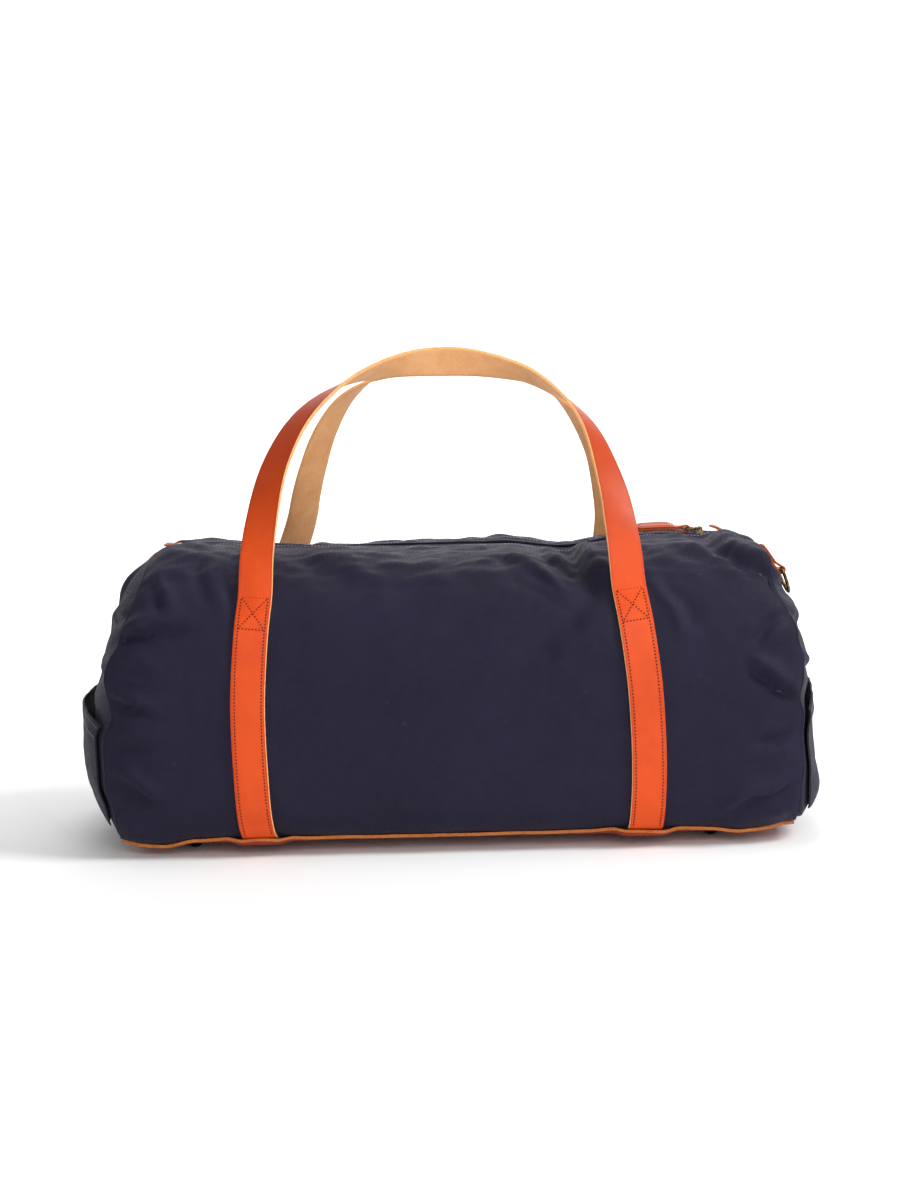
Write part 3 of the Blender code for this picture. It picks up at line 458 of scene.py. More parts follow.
class Nodes:
    """Short calls that add and join shader nodes."""

    def __init__(self, name):
        self.material = bpy.data.materials.new(name)
        self.material.use_nodes = True
        self.tree = self.material.node_tree
        self.shader = next(n for n in self.tree.nodes if n.type == "BSDF_PRINCIPLED")

    def add(self, kind, inputs=(), **settings):
        node = self.tree.nodes.new(kind)
        for key, value in settings.items():
            setattr(node, key, value)
        for key, value in dict(inputs).items():
            self.feed(node.inputs[key], value)
        return node

    def feed(self, socket, value):
        if hasattr(value, "links"):
            self.tree.links.new(value, socket)
        else:
            socket.default_value = value

    def math(self, operation, a, b=0.0):
        return self.add("ShaderNodeMath", {0: a, 1: b}, operation=operation).outputs[0]

    def between(self, value, low, high, to_low=0.0, to_high=1.0):
        node = self.add("ShaderNodeMapRange", {"Value": value, "From Min": low, "From Max": high,
                                               "To Min": to_low, "To Max": to_high})
        node.interpolation_type = "SMOOTHSTEP"
        return node.outputs["Result"]

    def noise(self, vector, scale, detail=4.0, roughness=0.55, distortion=0.0):
        inputs = {"Vector": vector, "Scale": scale, "Detail": detail, "Roughness": roughness,
                  "Distortion": distortion}
        return self.add("ShaderNodeTexNoise", inputs).outputs["Fac"]

    def place(self, scale=(1.0, 1.0, 1.0)):
        """Object coordinates, stretched."""
        where = self.add("ShaderNodeTexCoord").outputs["Object"]
        return self.add("ShaderNodeMapping", {"Vector": where, "Scale": scale}).outputs["Vector"]

    def attribute(self, name):
        return self.add("ShaderNodeAttribute", attribute_name=name).outputs["Fac"]

    def plane(self):
        """Cloth or strip coordinates from the mesh's own u and v, in metres."""
        inputs = {"X": self.attribute("u"), "Y": self.attribute("v")}
        return self.add("ShaderNodeCombineXYZ", inputs).outputs[0]

    def mix(self, factor, first, second):
        node = self.add("ShaderNodeMix", data_type="RGBA")
        sockets = [s for s in node.inputs if s.type == "RGBA"]
        self.feed(node.inputs[0], factor)
        self.feed(sockets[0], first)
        self.feed(sockets[1], second)
        return next(s for s in node.outputs if s.type == "RGBA")

    def bump(self, height, distance, strength=1.0, normal=None):
        node = self.add("ShaderNodeBump", {"Height": height, "Distance": distance, "Strength": strength})
        if normal is not None:
            self.feed(node.inputs["Normal"], normal)
        return node.outputs[0]

    def finish(self, colour, roughness, normal=None, **values):
        self.feed(self.shader.inputs["Base Color"], colour)
        self.feed(self.shader.inputs["Roughness"], roughness)
        if normal is not None:
            self.feed(self.shader.inputs["Normal"], normal)
        for key, value in values.items():
            self.shader.inputs[key].default_value = value
        return self.material


CANVAS_THREAD = 0.00085     # a pair of threads in the weave


def tint(red, green, blue):
    """Linear colour from sRGB numbers 0 to 255."""
    return (*[((c / 255 + 0.055) / 1.055) ** 2.4 if c > 10 else c / 3295 for c in (red, green, blue)], 1.0)


def canvas_material(name, dark, light, flat=True):
    """Waxed cotton canvas: a fine plain weave with slubs, soft mottling, pale patches of painted highlight
    and a faint sheen.
    """
    n = Nodes(name)
    if flat:
        cloth = n.plane()
        u, v = n.attribute("u"), n.attribute("v")
    else:
        cloth = n.place()
        parts = n.add("ShaderNodeSeparateXYZ", {0: cloth})
        u = n.math("ADD", parts.outputs["X"], parts.outputs["Y"])
        v = parts.outputs["Z"]
    turns = 2 * math.pi / CANVAS_THREAD
    warp = n.math("SINE", n.math("MULTIPLY", u, turns))
    weft = n.math("SINE", n.math("MULTIPLY", v, turns))
    weave = n.math("MULTIPLY", warp, weft)
    threads = n.math("ADD", n.math("ABSOLUTE", warp), n.math("ABSOLUTE", weft))
    height = n.math("ADD", n.math("MULTIPLY", weave, 0.5), n.math("MULTIPLY", threads, 0.35))
    slubs = [n.noise(n.add("ShaderNodeMapping", {"Vector": cloth, "Scale": scale}).outputs[0], 1.0, 3)
             for scale in ((70, 900, 300), (900, 70, 300))]
    slub = n.math("ADD", *slubs)
    mottle = n.noise(n.place(), 9.0, 5, 0.6, 0.4)
    highlight_patches = n.noise(n.place(), 60.0, 6, 0.7)
    fine = n.between(slub, 0.75, 1.25)
    shade_by = n.math("ADD", n.math("MULTIPLY", mottle, 0.65), n.math("MULTIPLY", fine, 0.30))
    shade_by = n.math("ADD", shade_by, n.math("MULTIPLY", weave, 0.06))
    colour = n.mix(n.between(shade_by, 0.25, 0.80), dark, light)
    # Painted highlight: pale lavender patches mixed into the colour; the same noise also sets the roughness.
    colour = n.mix(n.between(highlight_patches, 0.62, 0.80, 0.0, 0.10), colour, tint(120, 116, 136))
    rough = n.between(n.math("ADD", highlight_patches, fine), 0.5, 1.6, 0.62, 0.80)
    normal = n.bump(height, 0.00010, 0.55)
    normal = n.bump(slub, 0.00018, 0.55, normal)
    normal = n.bump(n.noise(n.place(), 28.0, 3, 0.5), 0.0012, 0.25, normal)
    return n.finish(colour, rough, normal, **{"Sheen Weight": 0.03, "Sheen Roughness": 0.45,
                                              "Specular IOR Level": 0.24})


def grain_material(name, base, deep, pale, wear=None, painted_shade_heights=None):
    """Grain side of vegetable-tanned leather: pores, faint creases, tone drift and darker edges.
    The last argument gives the heights between which painted shade darkens it, where the handle turns from
    the light."""
    n = Nodes(name)
    where = n.place()
    drift = n.noise(where, 14.0, 4, 0.55, 0.6)
    cloud = n.noise(where, 90.0, 5, 0.6)
    colour = n.mix(n.between(drift, 0.10, 0.62), deep, base)
    colour = n.mix(n.between(cloud, 0.48, 0.80, 0.0, 0.30), colour, pale)
    pores = n.add("ShaderNodeTexVoronoi", {"Vector": where, "Scale": 1500.0}).outputs["Distance"]
    creases = n.add("ShaderNodeTexVoronoi", {"Vector": n.place((1.0, 1.0, 0.55)), "Scale": 420.0},
                    feature="DISTANCE_TO_EDGE").outputs["Distance"]
    if wear is not None:
        rim = n.between(n.math("ABSOLUTE", n.attribute("u")), wear[0], wear[1])
        rubbed = n.noise(where, 160.0, 4, 0.6)
        colour = n.mix(n.math("MULTIPLY", rim, n.between(rubbed, 0.3, 0.7, 0.35, 0.85)), colour, deep)
    colour = n.mix(n.between(pores, 0.28, 0.05, 0.0, 0.35), colour, deep)
    if painted_shade_heights is not None:
        # Painted shade: the leather turns darker with height up the handle, where it faces away from the
        # light.
        height = n.add("ShaderNodeSeparateXYZ", {0: where}).outputs["Z"]
        colour = n.mix(n.between(height, *painted_shade_heights, 0.0, 0.42), colour, tint(96, 30, 4))
    rough = n.between(cloud, 0.3, 0.8, 0.40, 0.54)
    normal = n.bump(n.math("MINIMUM", pores, 0.4), 0.00006, 0.45)
    normal = n.bump(n.math("MINIMUM", creases, 0.10), 0.00035, 0.30, normal)
    normal = n.bump(cloud, 0.00030, 0.35, normal)
    return n.finish(colour, rough, normal, **{"Specular IOR Level": 0.28, "Coat Weight": 0.02,
                                              "Coat Roughness": 0.35})


def flesh_material(name, base, deep, pale):
    """Flesh side: a soft, fibrous nap with blotches."""
    n = Nodes(name)
    where = n.place()
    blotch = n.noise(where, 45.0, 5, 0.62, 0.5)
    fibre = n.noise(n.place((1.0, 1.0, 0.35)), 900.0, 4, 0.7, 1.2)
    speck = n.noise(where, 380.0, 3, 0.6)
    colour = n.mix(n.between(blotch, 0.30, 0.72), deep, base)
    colour = n.mix(n.between(fibre, 0.45, 0.70, 0.0, 0.55), colour, pale)
    colour = n.mix(n.between(speck, 0.60, 0.75, 0.0, 0.35), colour, deep)
    normal = n.bump(fibre, 0.00022, 0.6)
    normal = n.bump(speck, 0.00025, 0.35, normal)
    return n.finish(colour, n.between(fibre, 0.3, 0.7, 0.78, 0.95), normal,
                    **{"Sheen Weight": 0.15, "Sheen Roughness": 0.5, "Specular IOR Level": 0.25})


def edge_material(name, raw, dyed):
    """Cut edge: pale layered fibres between the dyed surfaces."""
    n = Nodes(name)
    where = n.place()
    layers = n.noise(n.place((0.25, 0.25, 0.25)), 2600.0, 3, 0.6, 0.3)
    patch = n.noise(where, 120.0, 4, 0.6)
    colour = n.mix(n.between(layers, 0.42, 0.68, 0.0, 0.55), raw, dyed)
    colour = n.mix(n.between(patch, 0.55, 0.75, 0.0, 0.45), colour, dyed)
    normal = n.bump(layers, 0.00012, 0.5)
    return n.finish(colour, n.between(patch, 0.3, 0.7, 0.60, 0.80), normal, **{"Specular IOR Level": 0.3})


def metal_material(name, dark, bright, rough=(0.28, 0.50)):
    """Antique brass: brown patina in the hollows, rubbed brighter in places."""
    n = Nodes(name)
    where = n.place()
    patina = n.noise(where, 260.0, 6, 0.65, 0.4)
    fine = n.noise(where, 2400.0, 3, 0.6)
    colour = n.mix(n.between(patina, 0.38, 0.66), dark, bright)
    normal = n.bump(fine, 0.00004, 0.35)
    normal = n.bump(n.noise(where, 480.0, 3, 0.5), 0.00012, 0.25, normal)
    return n.finish(colour, n.between(patina, 0.3, 0.7, rough[1], rough[0]), normal, Metallic=1.0)


def thread_material(name, base, dark):
    """Waxed thread: twisted plies."""
    n = Nodes(name)
    where = n.place()
    ply = n.noise(where, 2200.0, 2, 0.5)
    dirt = n.noise(where, 180.0, 3, 0.6)
    colour = n.mix(n.between(n.math("ADD", ply, dirt), 0.7, 1.3), dark, base)
    return n.finish(colour, n.between(ply, 0.3, 0.7, 0.45, 0.65), n.bump(ply, 0.00008, 0.5),
                    **{"Specular IOR Level": 0.2})


def tape_material(name, base, light, flat=True):
    """Woven zip or binding tape: a herringbone of fine ribs."""
    n = Nodes(name)
    u, v = n.attribute("u"), n.attribute("v")
    if not flat:
        parts = n.add("ShaderNodeSeparateXYZ", {0: n.place()})
        u, v = parts.outputs["X"], n.math("ADD", parts.outputs["Y"], parts.outputs["Z"])
    zigzag = n.math("PINGPONG", v, 0.0022)
    rib = n.math("SINE", n.math("MULTIPLY", n.math("ADD", u, zigzag), 2 * math.pi / 0.0011))
    fuzz = n.noise(n.place(), 700.0, 4, 0.6)
    level = n.math("ADD", n.math("MULTIPLY", rib, 0.25), fuzz)
    colour = n.mix(n.between(level, 0.3, 0.9), base, light)
    normal = n.bump(n.math("ADD", rib, fuzz), 0.00010, 0.5)
    return n.finish(colour, n.between(fuzz, 0.3, 0.7, 0.75, 0.92), normal, **{"Sheen Weight": 0.08})


def board_material(name):
    """Stiff fibre board with a pressed grain."""
    n = Nodes(name)
    where = n.place()
    grain = n.noise(where, 500.0, 5, 0.65)
    cloud = n.noise(where, 30.0, 3, 0.5)
    colour = n.mix(n.between(n.math("ADD", grain, cloud), 0.7, 1.3), tint(46, 44, 46), tint(64, 60, 60))
    return n.finish(colour, n.between(grain, 0.3, 0.7, 0.7, 0.9), n.bump(grain, 0.00020, 0.4))


# ---------------------------------------------------------------- cloth shape

MM = 0.001
CANVAS_THICK = 0.0016
GRID = 0.0027               # spacing of the cloth's grid
SIDE_CREASE, END_CREASE = 1.9, 1.4      # how strongly the folds show on the sides and the ends
STRAP_EDGE = 0.0134         # from the strap's middle to where the canvas may rise again


def perlin(x, y, seed=0):
    """Gradient noise on a plane, about -1 to 1, the same on every run."""
    i, j = np.floor(x).astype(np.int64), np.floor(y).astype(np.int64)
    fx, fy = x - i, y - j

    def corner(di, dj):
        code = (i + di) * 374761393 + (j + dj) * 668265263 + seed * 144269504
        code = ((code ^ (code >> 13)) * 1274126177) & 0x7FFFFFFF
        angle = ((code ^ (code >> 16)) & 0xFFFF) * (2 * math.pi / 65536)
        return np.cos(angle) * (fx - di) + np.sin(angle) * (fy - dj)

    u, v = (f ** 3 * (f * (f * 6 - 15) + 10) for f in (fx, fy))
    low = corner(0, 0) * (1 - u) + corner(1, 0) * u
    high = corner(0, 1) * (1 - u) + corner(1, 1) * u
    return 1.5 * (low * (1 - v) + high * v)


def crease(x, z, x0, z0, x1, z1, width, depth):
    """A soft fold along a line: a furrow with a raised lip beside it, fading at its ends."""
    run_x, run_z = x1 - x0, z1 - z0
    length = math.hypot(run_x, run_z)
    along = ((x - x0) * run_x + (z - z0) * run_z) / length ** 2
    off = ((z - z0) * run_x - (x - x0) * run_z) / (length * width)
    off = off + 0.45 * perlin(x * 45, z * 45, 3)
    fade = smooth(-0.20, 0.30, along) * (1 - smooth(0.60, 1.20, along))
    return depth * fade * (0.9 * np.exp(-(off - 1.0) ** 2) - np.exp(-(off * 1.4) ** 2))


# Folds of each side in millimetres: x and z of one end, x and z of the other, width and depth
FOLDS = {
    FRONT: MM * np.array([
        (-266, 180, -208, 186, 7.5, 3.4), (-270, 131, -236, 117, 6, 3), (-244, 226, -226, 196, 7, 2.2),
        (-270, 66, -234, 44, 7.5, 2.8), (-262, 158, -232, 150, 6, 1.4), (-268, 98, -240, 92, 7, 1.8),
        (212, 246, 270, 208, 8, 3.6), (236, 146, 277, 117, 7, 3.4), (218, 28, 274, 46, 7.5, 3.2),
        (268, 186, 244, 166, 6.5, 2.2), (272, 90, 242, 82, 7, 2.2), (163, 218, 194, 168, 9.5, -1.6),
        (100, 248, 120, 198, 13, 3.4), (120, 206, 60, 150, 15, 1.4), (104, 244, 142, 192, 9, 2),
        (58, 232, 94, 208, 5, 2), (78, 243, 104, 226, 5, 1.8), (40, 236, 92, 196, 10, 1.6),
        (-174, 240, -170, 196, 8, 1.8), (-118, 236, -60, 214, 10, 1.4), (-205, 232, -186, 200, 9, 1.2),
        (186, 236, 226, 224, 6, 1.4)]),
    BACK: MM * np.array([
        (-268, 170, -214, 160, 8, 3.4), (-244, 232, -196, 206, 7.5, 2.8), (-270, 84, -230, 72, 7.5, 3),
        (-272, 120, -244, 112, 6, 2), (262, 226, 214, 200, 8, 3.2), (272, 150, 226, 162, 7, 3),
        (274, 108, 240, 98, 7, 2.4), (272, 52, 226, 36, 8, 3), (-120, 238, -80, 196, 11, 2.2),
        (30, 240, 84, 204, 11, 2.4), (-196, 224, -170, 176, 9, 1.8), (178, 220, 202, 172, 9, 1.8)])}


def pleats(girth, seed):
    """Gathers of the canvas round an end seam."""
    wide = perlin(girth / 0.030, girth * 0 + 0.5, seed)
    return 0.75 * wide + 0.45 * perlin(girth / 0.0135, girth * 0 + 0.3, seed + 7)


def puff(x, girth, side):
    """How far the canvas stands out from the barrel's plain surface."""
    height = section(girth)[1]
    total = np.zeros(np.broadcast(x, girth).shape)
    for end in (LEFT, RIGHT):
        inside = np.maximum(seam_x(end, height) - end * x, 0.0)
        fan = girth + (girth - 0.25) * inside * 1.2 + 0.012 * perlin(inside * 30, girth * 12, 4)
        short = (inside / 0.010) * np.exp(1 - inside / 0.010)
        long = smooth(0.0, 0.018, inside) * np.exp(-inside / 0.034)
        total += 0.0016 * short * pleats(fan, 20 + end * side) + 0.0034 * long * pleats(fan, 30 + end * side)
        total += 0.0022 * long - 0.0026 * np.exp(-inside / 0.0035)
    for fold in FOLDS[side]:
        total += SIDE_CREASE * crease(x, height, *fold)
    top = smooth(0.190, 0.222, height)
    total += top * 0.0016 * perlin(x / 0.030 + girth / 0.06, girth / 0.017, 16 + side)
    total += top * 0.0010 * perlin(x / 0.014 - girth / 0.03, girth / 0.011, 18 + side)
    total += 0.0013 * perlin(x / 0.085 + 0.4 * perlin(x / 0.05, girth / 0.05, 8), girth / 0.060, 11 + side)
    total += 0.0005 * perlin(x / 0.028, girth / 0.021, 12 + side)
    total += 0.00016 * perlin(x / 0.009, girth / 0.008, 13)
    lift = smooth(0.218, 0.240, height)
    beside = lift * smooth(0.014, 0.036, SLOT_GIRTH - girth)
    for centre, wide, rise in ((-0.212, 0.026, 0.0046), (0.192, 0.030, -0.0012)):
        total += rise * beside * np.exp(-((x - centre) / wide) ** 2)
    total -= 0.0018 * lift * np.exp(-((x - 0.226) / 0.022) ** 2)
    if side == FRONT:
        total += 0.0016 * smooth(0.215, 0.230, height) * np.exp(-((x - 0.258) / 0.016) ** 2)
    if side == BACK:
        total += 0.0022 * lift * np.exp(-((x - 0.045) / 0.050) ** 2)
        total += 0.0068 * beside * np.exp(-((x - 0.196) / 0.042) ** 2)
    total += 0.0016 * np.exp(-((height - 0.030) / 0.010) ** 2) * (0.6 + 0.4 * perlin(x / 0.05, x * 0, 15))
    keep = smooth(BASE_EDGE_HEIGHT - 0.003, BASE_EDGE_HEIGHT + 0.006, height)
    keep = keep * (1 - 0.85 * smooth(SLOT_GIRTH - 0.016, SLOT_GIRTH, girth))
    for end in (LEFT, RIGHT):
        off = np.abs(x - strap_x(side, end, np.minimum(height, FOLD_HEIGHT)))
        under = (1 - smooth(STRAP_EDGE, 0.0215, off)) * (1 - smooth(FOLD_HEIGHT, FOLD_HEIGHT + 0.012, height))
        keep = keep * (1 - 0.94 * under)
        total -= 0.0007 * under
    return total * keep


TILT = {FRONT: 0.38, BACK: -0.13}           # slope of each lip, from the zip outwards
DROOP = {LEFT: 0.0048, RIGHT: 0.0032}       # fall of the lower corners


def droop(points):
    """Lowers the lower corners of the bag, beyond its feet."""
    x, y, z = np.moveaxis(points, -1, 0)
    deep = np.where(x < 0, DROOP[LEFT], DROOP[RIGHT]) * smooth(0.208, 0.234, np.abs(x))
    deep = deep * (1 - 0.5 * smooth(0.262, 0.280, np.abs(x)))
    points[..., 2] -= deep * smooth(0.096, 0.118, np.abs(y)) * (1 - smooth(0.014, 0.045, z))


def sag(x, z):
    """Fall of the bag's top between the handles."""
    fall = 0.0034 * (1 - smooth(0.095, 0.190, np.abs(x))) + 0.0050 * np.exp(-((x - 0.100) / 0.030) ** 2)
    return -fall * smooth(0.190, 0.240, z)


def tilt(side, x, y):
    """Lean of the zip's surroundings: the front lip turns to the front and the back rises behind it."""
    reach = np.maximum(np.abs(y) - 0.004, 0.0)
    middle = smooth(-0.085, -0.040, x) * (1 - smooth(0.140, 0.180, x))
    return -TILT[side] * reach * np.exp(-reach / 0.025) * middle


def lens(x):
    """Share of the mouth's opening along the zip."""
    return 1 - smooth(0.020, MOUTH_HALF, np.abs(x))


def put_weights(item):
    """Bakes a piece's transform into its mesh."""
    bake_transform(item)


def facing(side, points):
    """Unit normals of a grid that point away from the bag on a side."""
    way = normals(points)
    return way if way[..., 1].mean() * side > 0 else -way


def canvas_grid():
    """Positions (x, girth) of the grid that covers a side, from end seam to end seam."""
    rows = np.concatenate((np.linspace(BASE_SEAM + 0.001, SLOT_GIRTH - 0.008, int(0.285 / GRID)),
                           np.linspace(SLOT_GIRTH - 0.006, SLOT_GIRTH, 4)))
    share = np.linspace(-1, 1, int(2 * SEAM_HALF / GRID))
    share = np.sign(share) * np.abs(share) ** 0.9
    girth = np.repeat(rows[:, None], len(share), 1)
    height = section(girth)[1]
    reach = np.where(share < 0, seam_x(LEFT, height), seam_x(RIGHT, height)) - GAP
    return share * reach, girth


def side_canvas(side, materials):
    """Front or back of the bag, from the base to the zip, in one piece."""
    x, girth = canvas_grid()
    points = skin(x, girth, side)
    outer = points + facing(side, points) * puff(x, girth, side)[..., None]
    outer[..., 2] += sag(x, outer[..., 2]) + tilt(side, x, outer[..., 1]) * smooth(0.19, 0.225, outer[..., 2])
    droop(outer)
    way = facing(side, outer)
    inner = outer - way * CANVAS_THICK
    inner[-1] = outer[-1] - np.array([0.0, 0.0, CANVAS_THICK])
    item = shell(SIDE_NAMES[side] + "_canvas", outer, inner, materials, {"u": x, "v": girth})
    put_weights(item)
    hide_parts(SIDE_NAMES[side] + "_panel", SIDE_NAMES[side] + "_mouth_panel")
    return x, girth, outer, way


NAVY = canvas_material("navy_canvas", tint(18, 15, 36), tint(28, 24, 50))
LINING = canvas_material("canvas_inside", tint(34, 32, 44), tint(56, 54, 68))
NAVY_EDGE = canvas_material("canvas_edge", tint(14, 12, 26), tint(26, 23, 40))
CLOTH = (NAVY, LINING, NAVY_EDGE)
SIDES = {side: side_canvas(side, CLOTH) for side in (FRONT, BACK)}


# ---------------------------------------------------------------- straps and handles

STITCH_INSET = 0.0031       # rows of stitching, from the strap's edges
STITCH_PITCH = 0.0027
BOX_TOP, BOX_HEIGHT = 0.0024, 0.0265
STRAP_END_HEIGHT = 0.0105   # the straps end under the base leather
LEG_STEP = 0.0022
APEX_LIFT = {FRONT: 0.0016, BACK: 0.0058}


def handle_path(side, count):
    """Centre points of a handle, from its left fold to its right fold, in its leaning plane."""
    y0, z0 = fold_line(side)
    low = HANDLE_START / HANDLE_RISE
    spread = strap_centre(FOLD_HEIGHT)
    turns = np.linspace(math.asin(low ** (HANDLE_ROUND / 2)), math.pi / 2, count // 2 + 1)
    rise = np.sin(turns) ** (2 / HANDLE_ROUND)
    reach = np.abs(np.cos(turns)) ** (2 / HANDLE_ROUND)
    reach[-1] = 0.0
    x = np.concatenate((-spread * reach, spread * reach[-2::-1]))
    h = np.concatenate((rise, rise[-2::-1]))
    z = z0 + HANDLE_RISE * h
    x = x + STRAP_SHIFT + HANDLE_SHIFT[side] * smooth(0.0, 0.35, h) + np.where(
        x < 0, lean(side, LEFT, z), lean(side, RIGHT, z)) * (1 - smooth(0.93, 1.0, h))
    return np.stack([x, y0 - side * HANDLE_LEAN * h, z + APEX_LIFT[side] * smooth(0.55, 1.0, h)], -1)


def leg_path(side, end):
    """A sewn leg from its lower end to the fold, with the panel's outward direction."""
    girth = np.linspace(float(girth_at(STRAP_END_HEIGHT)), FOLD_GIRTH, int(0.22 / LEG_STEP))
    height = section(girth)[1]
    x = strap_x(side, end, height)
    stand = GAP + STRAP_THICK / 2 - 0.0030 * (1 - smooth(0.010, 0.020, height))
    path = skin(x, girth, side, -stand)
    return path, unit(path - skin(x, girth, side, 0.004)), height


def strap_line(side):
    """Whole strap as (path, across, face, length, handle share): up a leg, over, and down the other."""
    left, left_face = leg_path(side, LEFT)[:2]
    right, right_face = leg_path(side, RIGHT)[:2]
    loop = resample(handle_path(side, 900), 0.0033)
    path = np.concatenate((left, loop[1:-1], right[::-1]))
    first, last = len(left) - 1, len(left) + len(loop) - 2
    for step in range(14):                    # the strap leaves the panel in a curve, not a corner
        soft = path.copy()
        soft[1:-1] = (path[:-2] + 2 * path[1:-1] + path[2:]) / 4
        for fold in (first, last):
            path[fold - 4:fold + 6] = soft[fold - 4:fold + 6]
    lengths = lengths_of(path)
    start, stop = lengths[first], lengths[last]
    half = (stop - start) / 2
    lean = unit(np.array([0.0, -side * HANDLE_LEAN, HANDLE_RISE]))
    plane = np.array([0.0, lean[2] * side, -lean[1] * side])
    normal = np.repeat(plane[None], len(path), 0)
    normal[:first] = left_face[:-1]
    normal[last:] = right_face[::-1][:len(path) - last]
    for step in range(10):
        normal[1:-1] = unit((normal[:-2] + 2 * normal[1:-1] + normal[2:]) / 4)
    ahead, normal = square_to(path, normal)
    outward = np.cross(normal, ahead) * (-side)
    share = np.clip((half - np.abs(lengths - start - half) - 0.015) / (half - 0.015), 0.0, 1.0)
    twist = np.where(lengths < start + half, np.interp(share, *TWIST_SHARE[LEFT]),
                     np.interp(share, *TWIST_SHARE[RIGHT]))
    for step in range(60):
        twist[1:-1] = (twist[:-2] + 2 * twist[1:-1] + twist[2:]) / 4
    turn = (HANDLE_TWIST * twist)[:, None]
    face = normal * np.cos(turn) + outward * np.sin(turn)
    across = np.cross(face, ahead)
    fold = smooth(start - 0.003, start + 0.006, lengths) * (1 - smooth(stop - 0.006, stop + 0.003, lengths))
    path = path + across * (0.00045 * perlin(lengths / 0.055, lengths * 0, 40 + side))[:, None]
    return path, across, face, lengths, fold


def strap_profile(groove):
    """Cross-section of the strap, with a pressed groove of a depth along each row of stitches."""
    half, thick = STRAP_WIDTH / 2, STRAP_THICK / 2
    row = half - STITCH_INSET
    face = [-row + s for s in (-0.0022, -0.0012, -0.0007, -0.00035, 0.0, 0.00035, 0.0007, 0.0012, 0.0030)]
    face = face + [-0.0035, 0.0, 0.0035] + [-a for a in reversed(face)]
    face = [-half + 0.0005] + face + [half - 0.0005]
    dips = [groove * math.exp(-((abs(a) - row) / 0.0005) ** 2) for a in face]
    crown = [0.00025 * (1 - (a / half) ** 4) for a in face]
    loop = [(a, thick - 0.00025 + c - d) for a, c, d in zip(face, crown, dips)]
    edge = [(half - 0.00012, thick * 0.70), (half, thick * 0.30), (half, -thick * 0.30),
            (half - 0.00012, -thick * 0.75)]
    inner = np.linspace(half - 0.0005, -half + 0.0005, 9)
    loop += edge + [(a, -thick) for a in inner] + [(-a, o) for a, o in reversed(edge)]
    kinds = [0] * len(face) + [2] * len(edge) + [1] * (len(inner) - 1) + [2] * (len(edge) + 1)
    return np.array(loop), kinds


def strap(side, materials):
    """A strap of one piece: two sewn legs and the handle between them."""
    path, across, face, lengths, fold = strap_line(side)
    plain, kinds = strap_profile(0.0)
    pressed = strap_profile(0.00012)[0]
    sewn = (1 - fold)[:, None, None]
    profile = plain * (1 - sewn) + pressed * sewn
    marks = {"u": profile[..., 0], "v": np.repeat(lengths[:, None], profile.shape[1], 1)}
    item = sweep(SIDE_NAMES[side] + "_strap", path, across, face, profile, materials, kinds, marks=marks)
    put_weights(item)
    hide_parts(SIDE_NAMES[side] + "_handle", SIDE_NAMES[side] + "_left_strap",
                SIDE_NAMES[side] + "_right_strap")


def strap_stitches(side, material):
    """Two rows down each leg and a box with a cross at its top."""
    places = []
    row = STRAP_WIDTH / 2 - STITCH_INSET
    for end in (LEFT, RIGHT):
        path, face, height = leg_path(side, end)
        ahead, face = square_to(path, face)
        across = np.cross(face, ahead)
        lengths = lengths_of(path)
        surface = path + face * (STRAP_THICK / 2 - 0.00020)
        top = lengths[-1] - BOX_TOP
        low = top - BOX_HEIGHT
        start = float(np.interp(BASE_EDGE_HEIGHT + 0.003, height, lengths))
        lines = [[(start, -row), (top, -row)], [(start, row), (top, row)], [(top, -row), (top, row)],
                 [(low, -row), (low, row)], [(low + 0.001, -row + 0.001), (top - 0.001, row - 0.001)],
                 [(low + 0.001, row - 0.001), (top - 0.001, -row + 0.001)]]
        for number, ((s0, a0), (s1, a1)) in enumerate(lines):
            share = np.linspace(0, 1, 90 if number < 2 else 12)
            marks = s0 + (s1 - s0) * share
            beside = at(marks, lengths, across) * (a0 + (a1 - a0) * share)[:, None]
            places += along_line(at(marks, lengths, surface) + beside, at(marks, lengths, face), STITCH_PITCH)
    item = stitches(SIDE_NAMES[side] + "_strap_stitches", places, material, length=0.0014, radius=0.00050)
    belong(item, "root", "strap_leather")


# The strap grain gets painted shade on the handles between 0.19 m and 0.31 m high.
GRAIN = grain_material("strap_grain", tint(222, 76, 10), tint(194, 58, 6), tint(232, 94, 20),
                       wear=(0.0108, 0.0128), painted_shade_heights=(0.19, 0.31))
FLESH = flesh_material("strap_flesh", tint(246, 184, 126), tint(234, 164, 106), tint(252, 206, 156))
CUT_EDGE = edge_material("strap_edge", tint(240, 184, 122), tint(222, 120, 54))
THREAD = thread_material("brown_thread", tint(96, 24, 6), tint(48, 12, 3))
for bag_side in (FRONT, BACK):
    strap(bag_side, (GRAIN, FLESH, CUT_EDGE))
    strap_stitches(bag_side, THREAD)


# ---------------------------------------------------------------- base, feet and small hardware

def turned(name, profile, steps, material):
    """Solid of revolution about Z from a profile of (radius, height) pairs that ends on the axis."""
    turns = np.linspace(0, 2 * math.pi, steps, endpoint=False)
    body = profile[1:-1]
    points = [(r * math.cos(t), r * math.sin(t), z) for r, z in body for t in turns]
    faces = [tuple(f) for f in grid_faces(len(body), steps, wrap_columns=True)]
    for radius_height, row in ((profile[0], 0), (profile[-1], len(body) - 1)):
        points.append((0.0, 0.0, radius_height[1]))
        fan = [(row * steps + k, row * steps + (k + 1) % steps, len(points) - 1) for k in range(steps)]
        faces += fan if row else [f[::-1] for f in fan]
    return solid(name, points, faces, None, [material], 40)


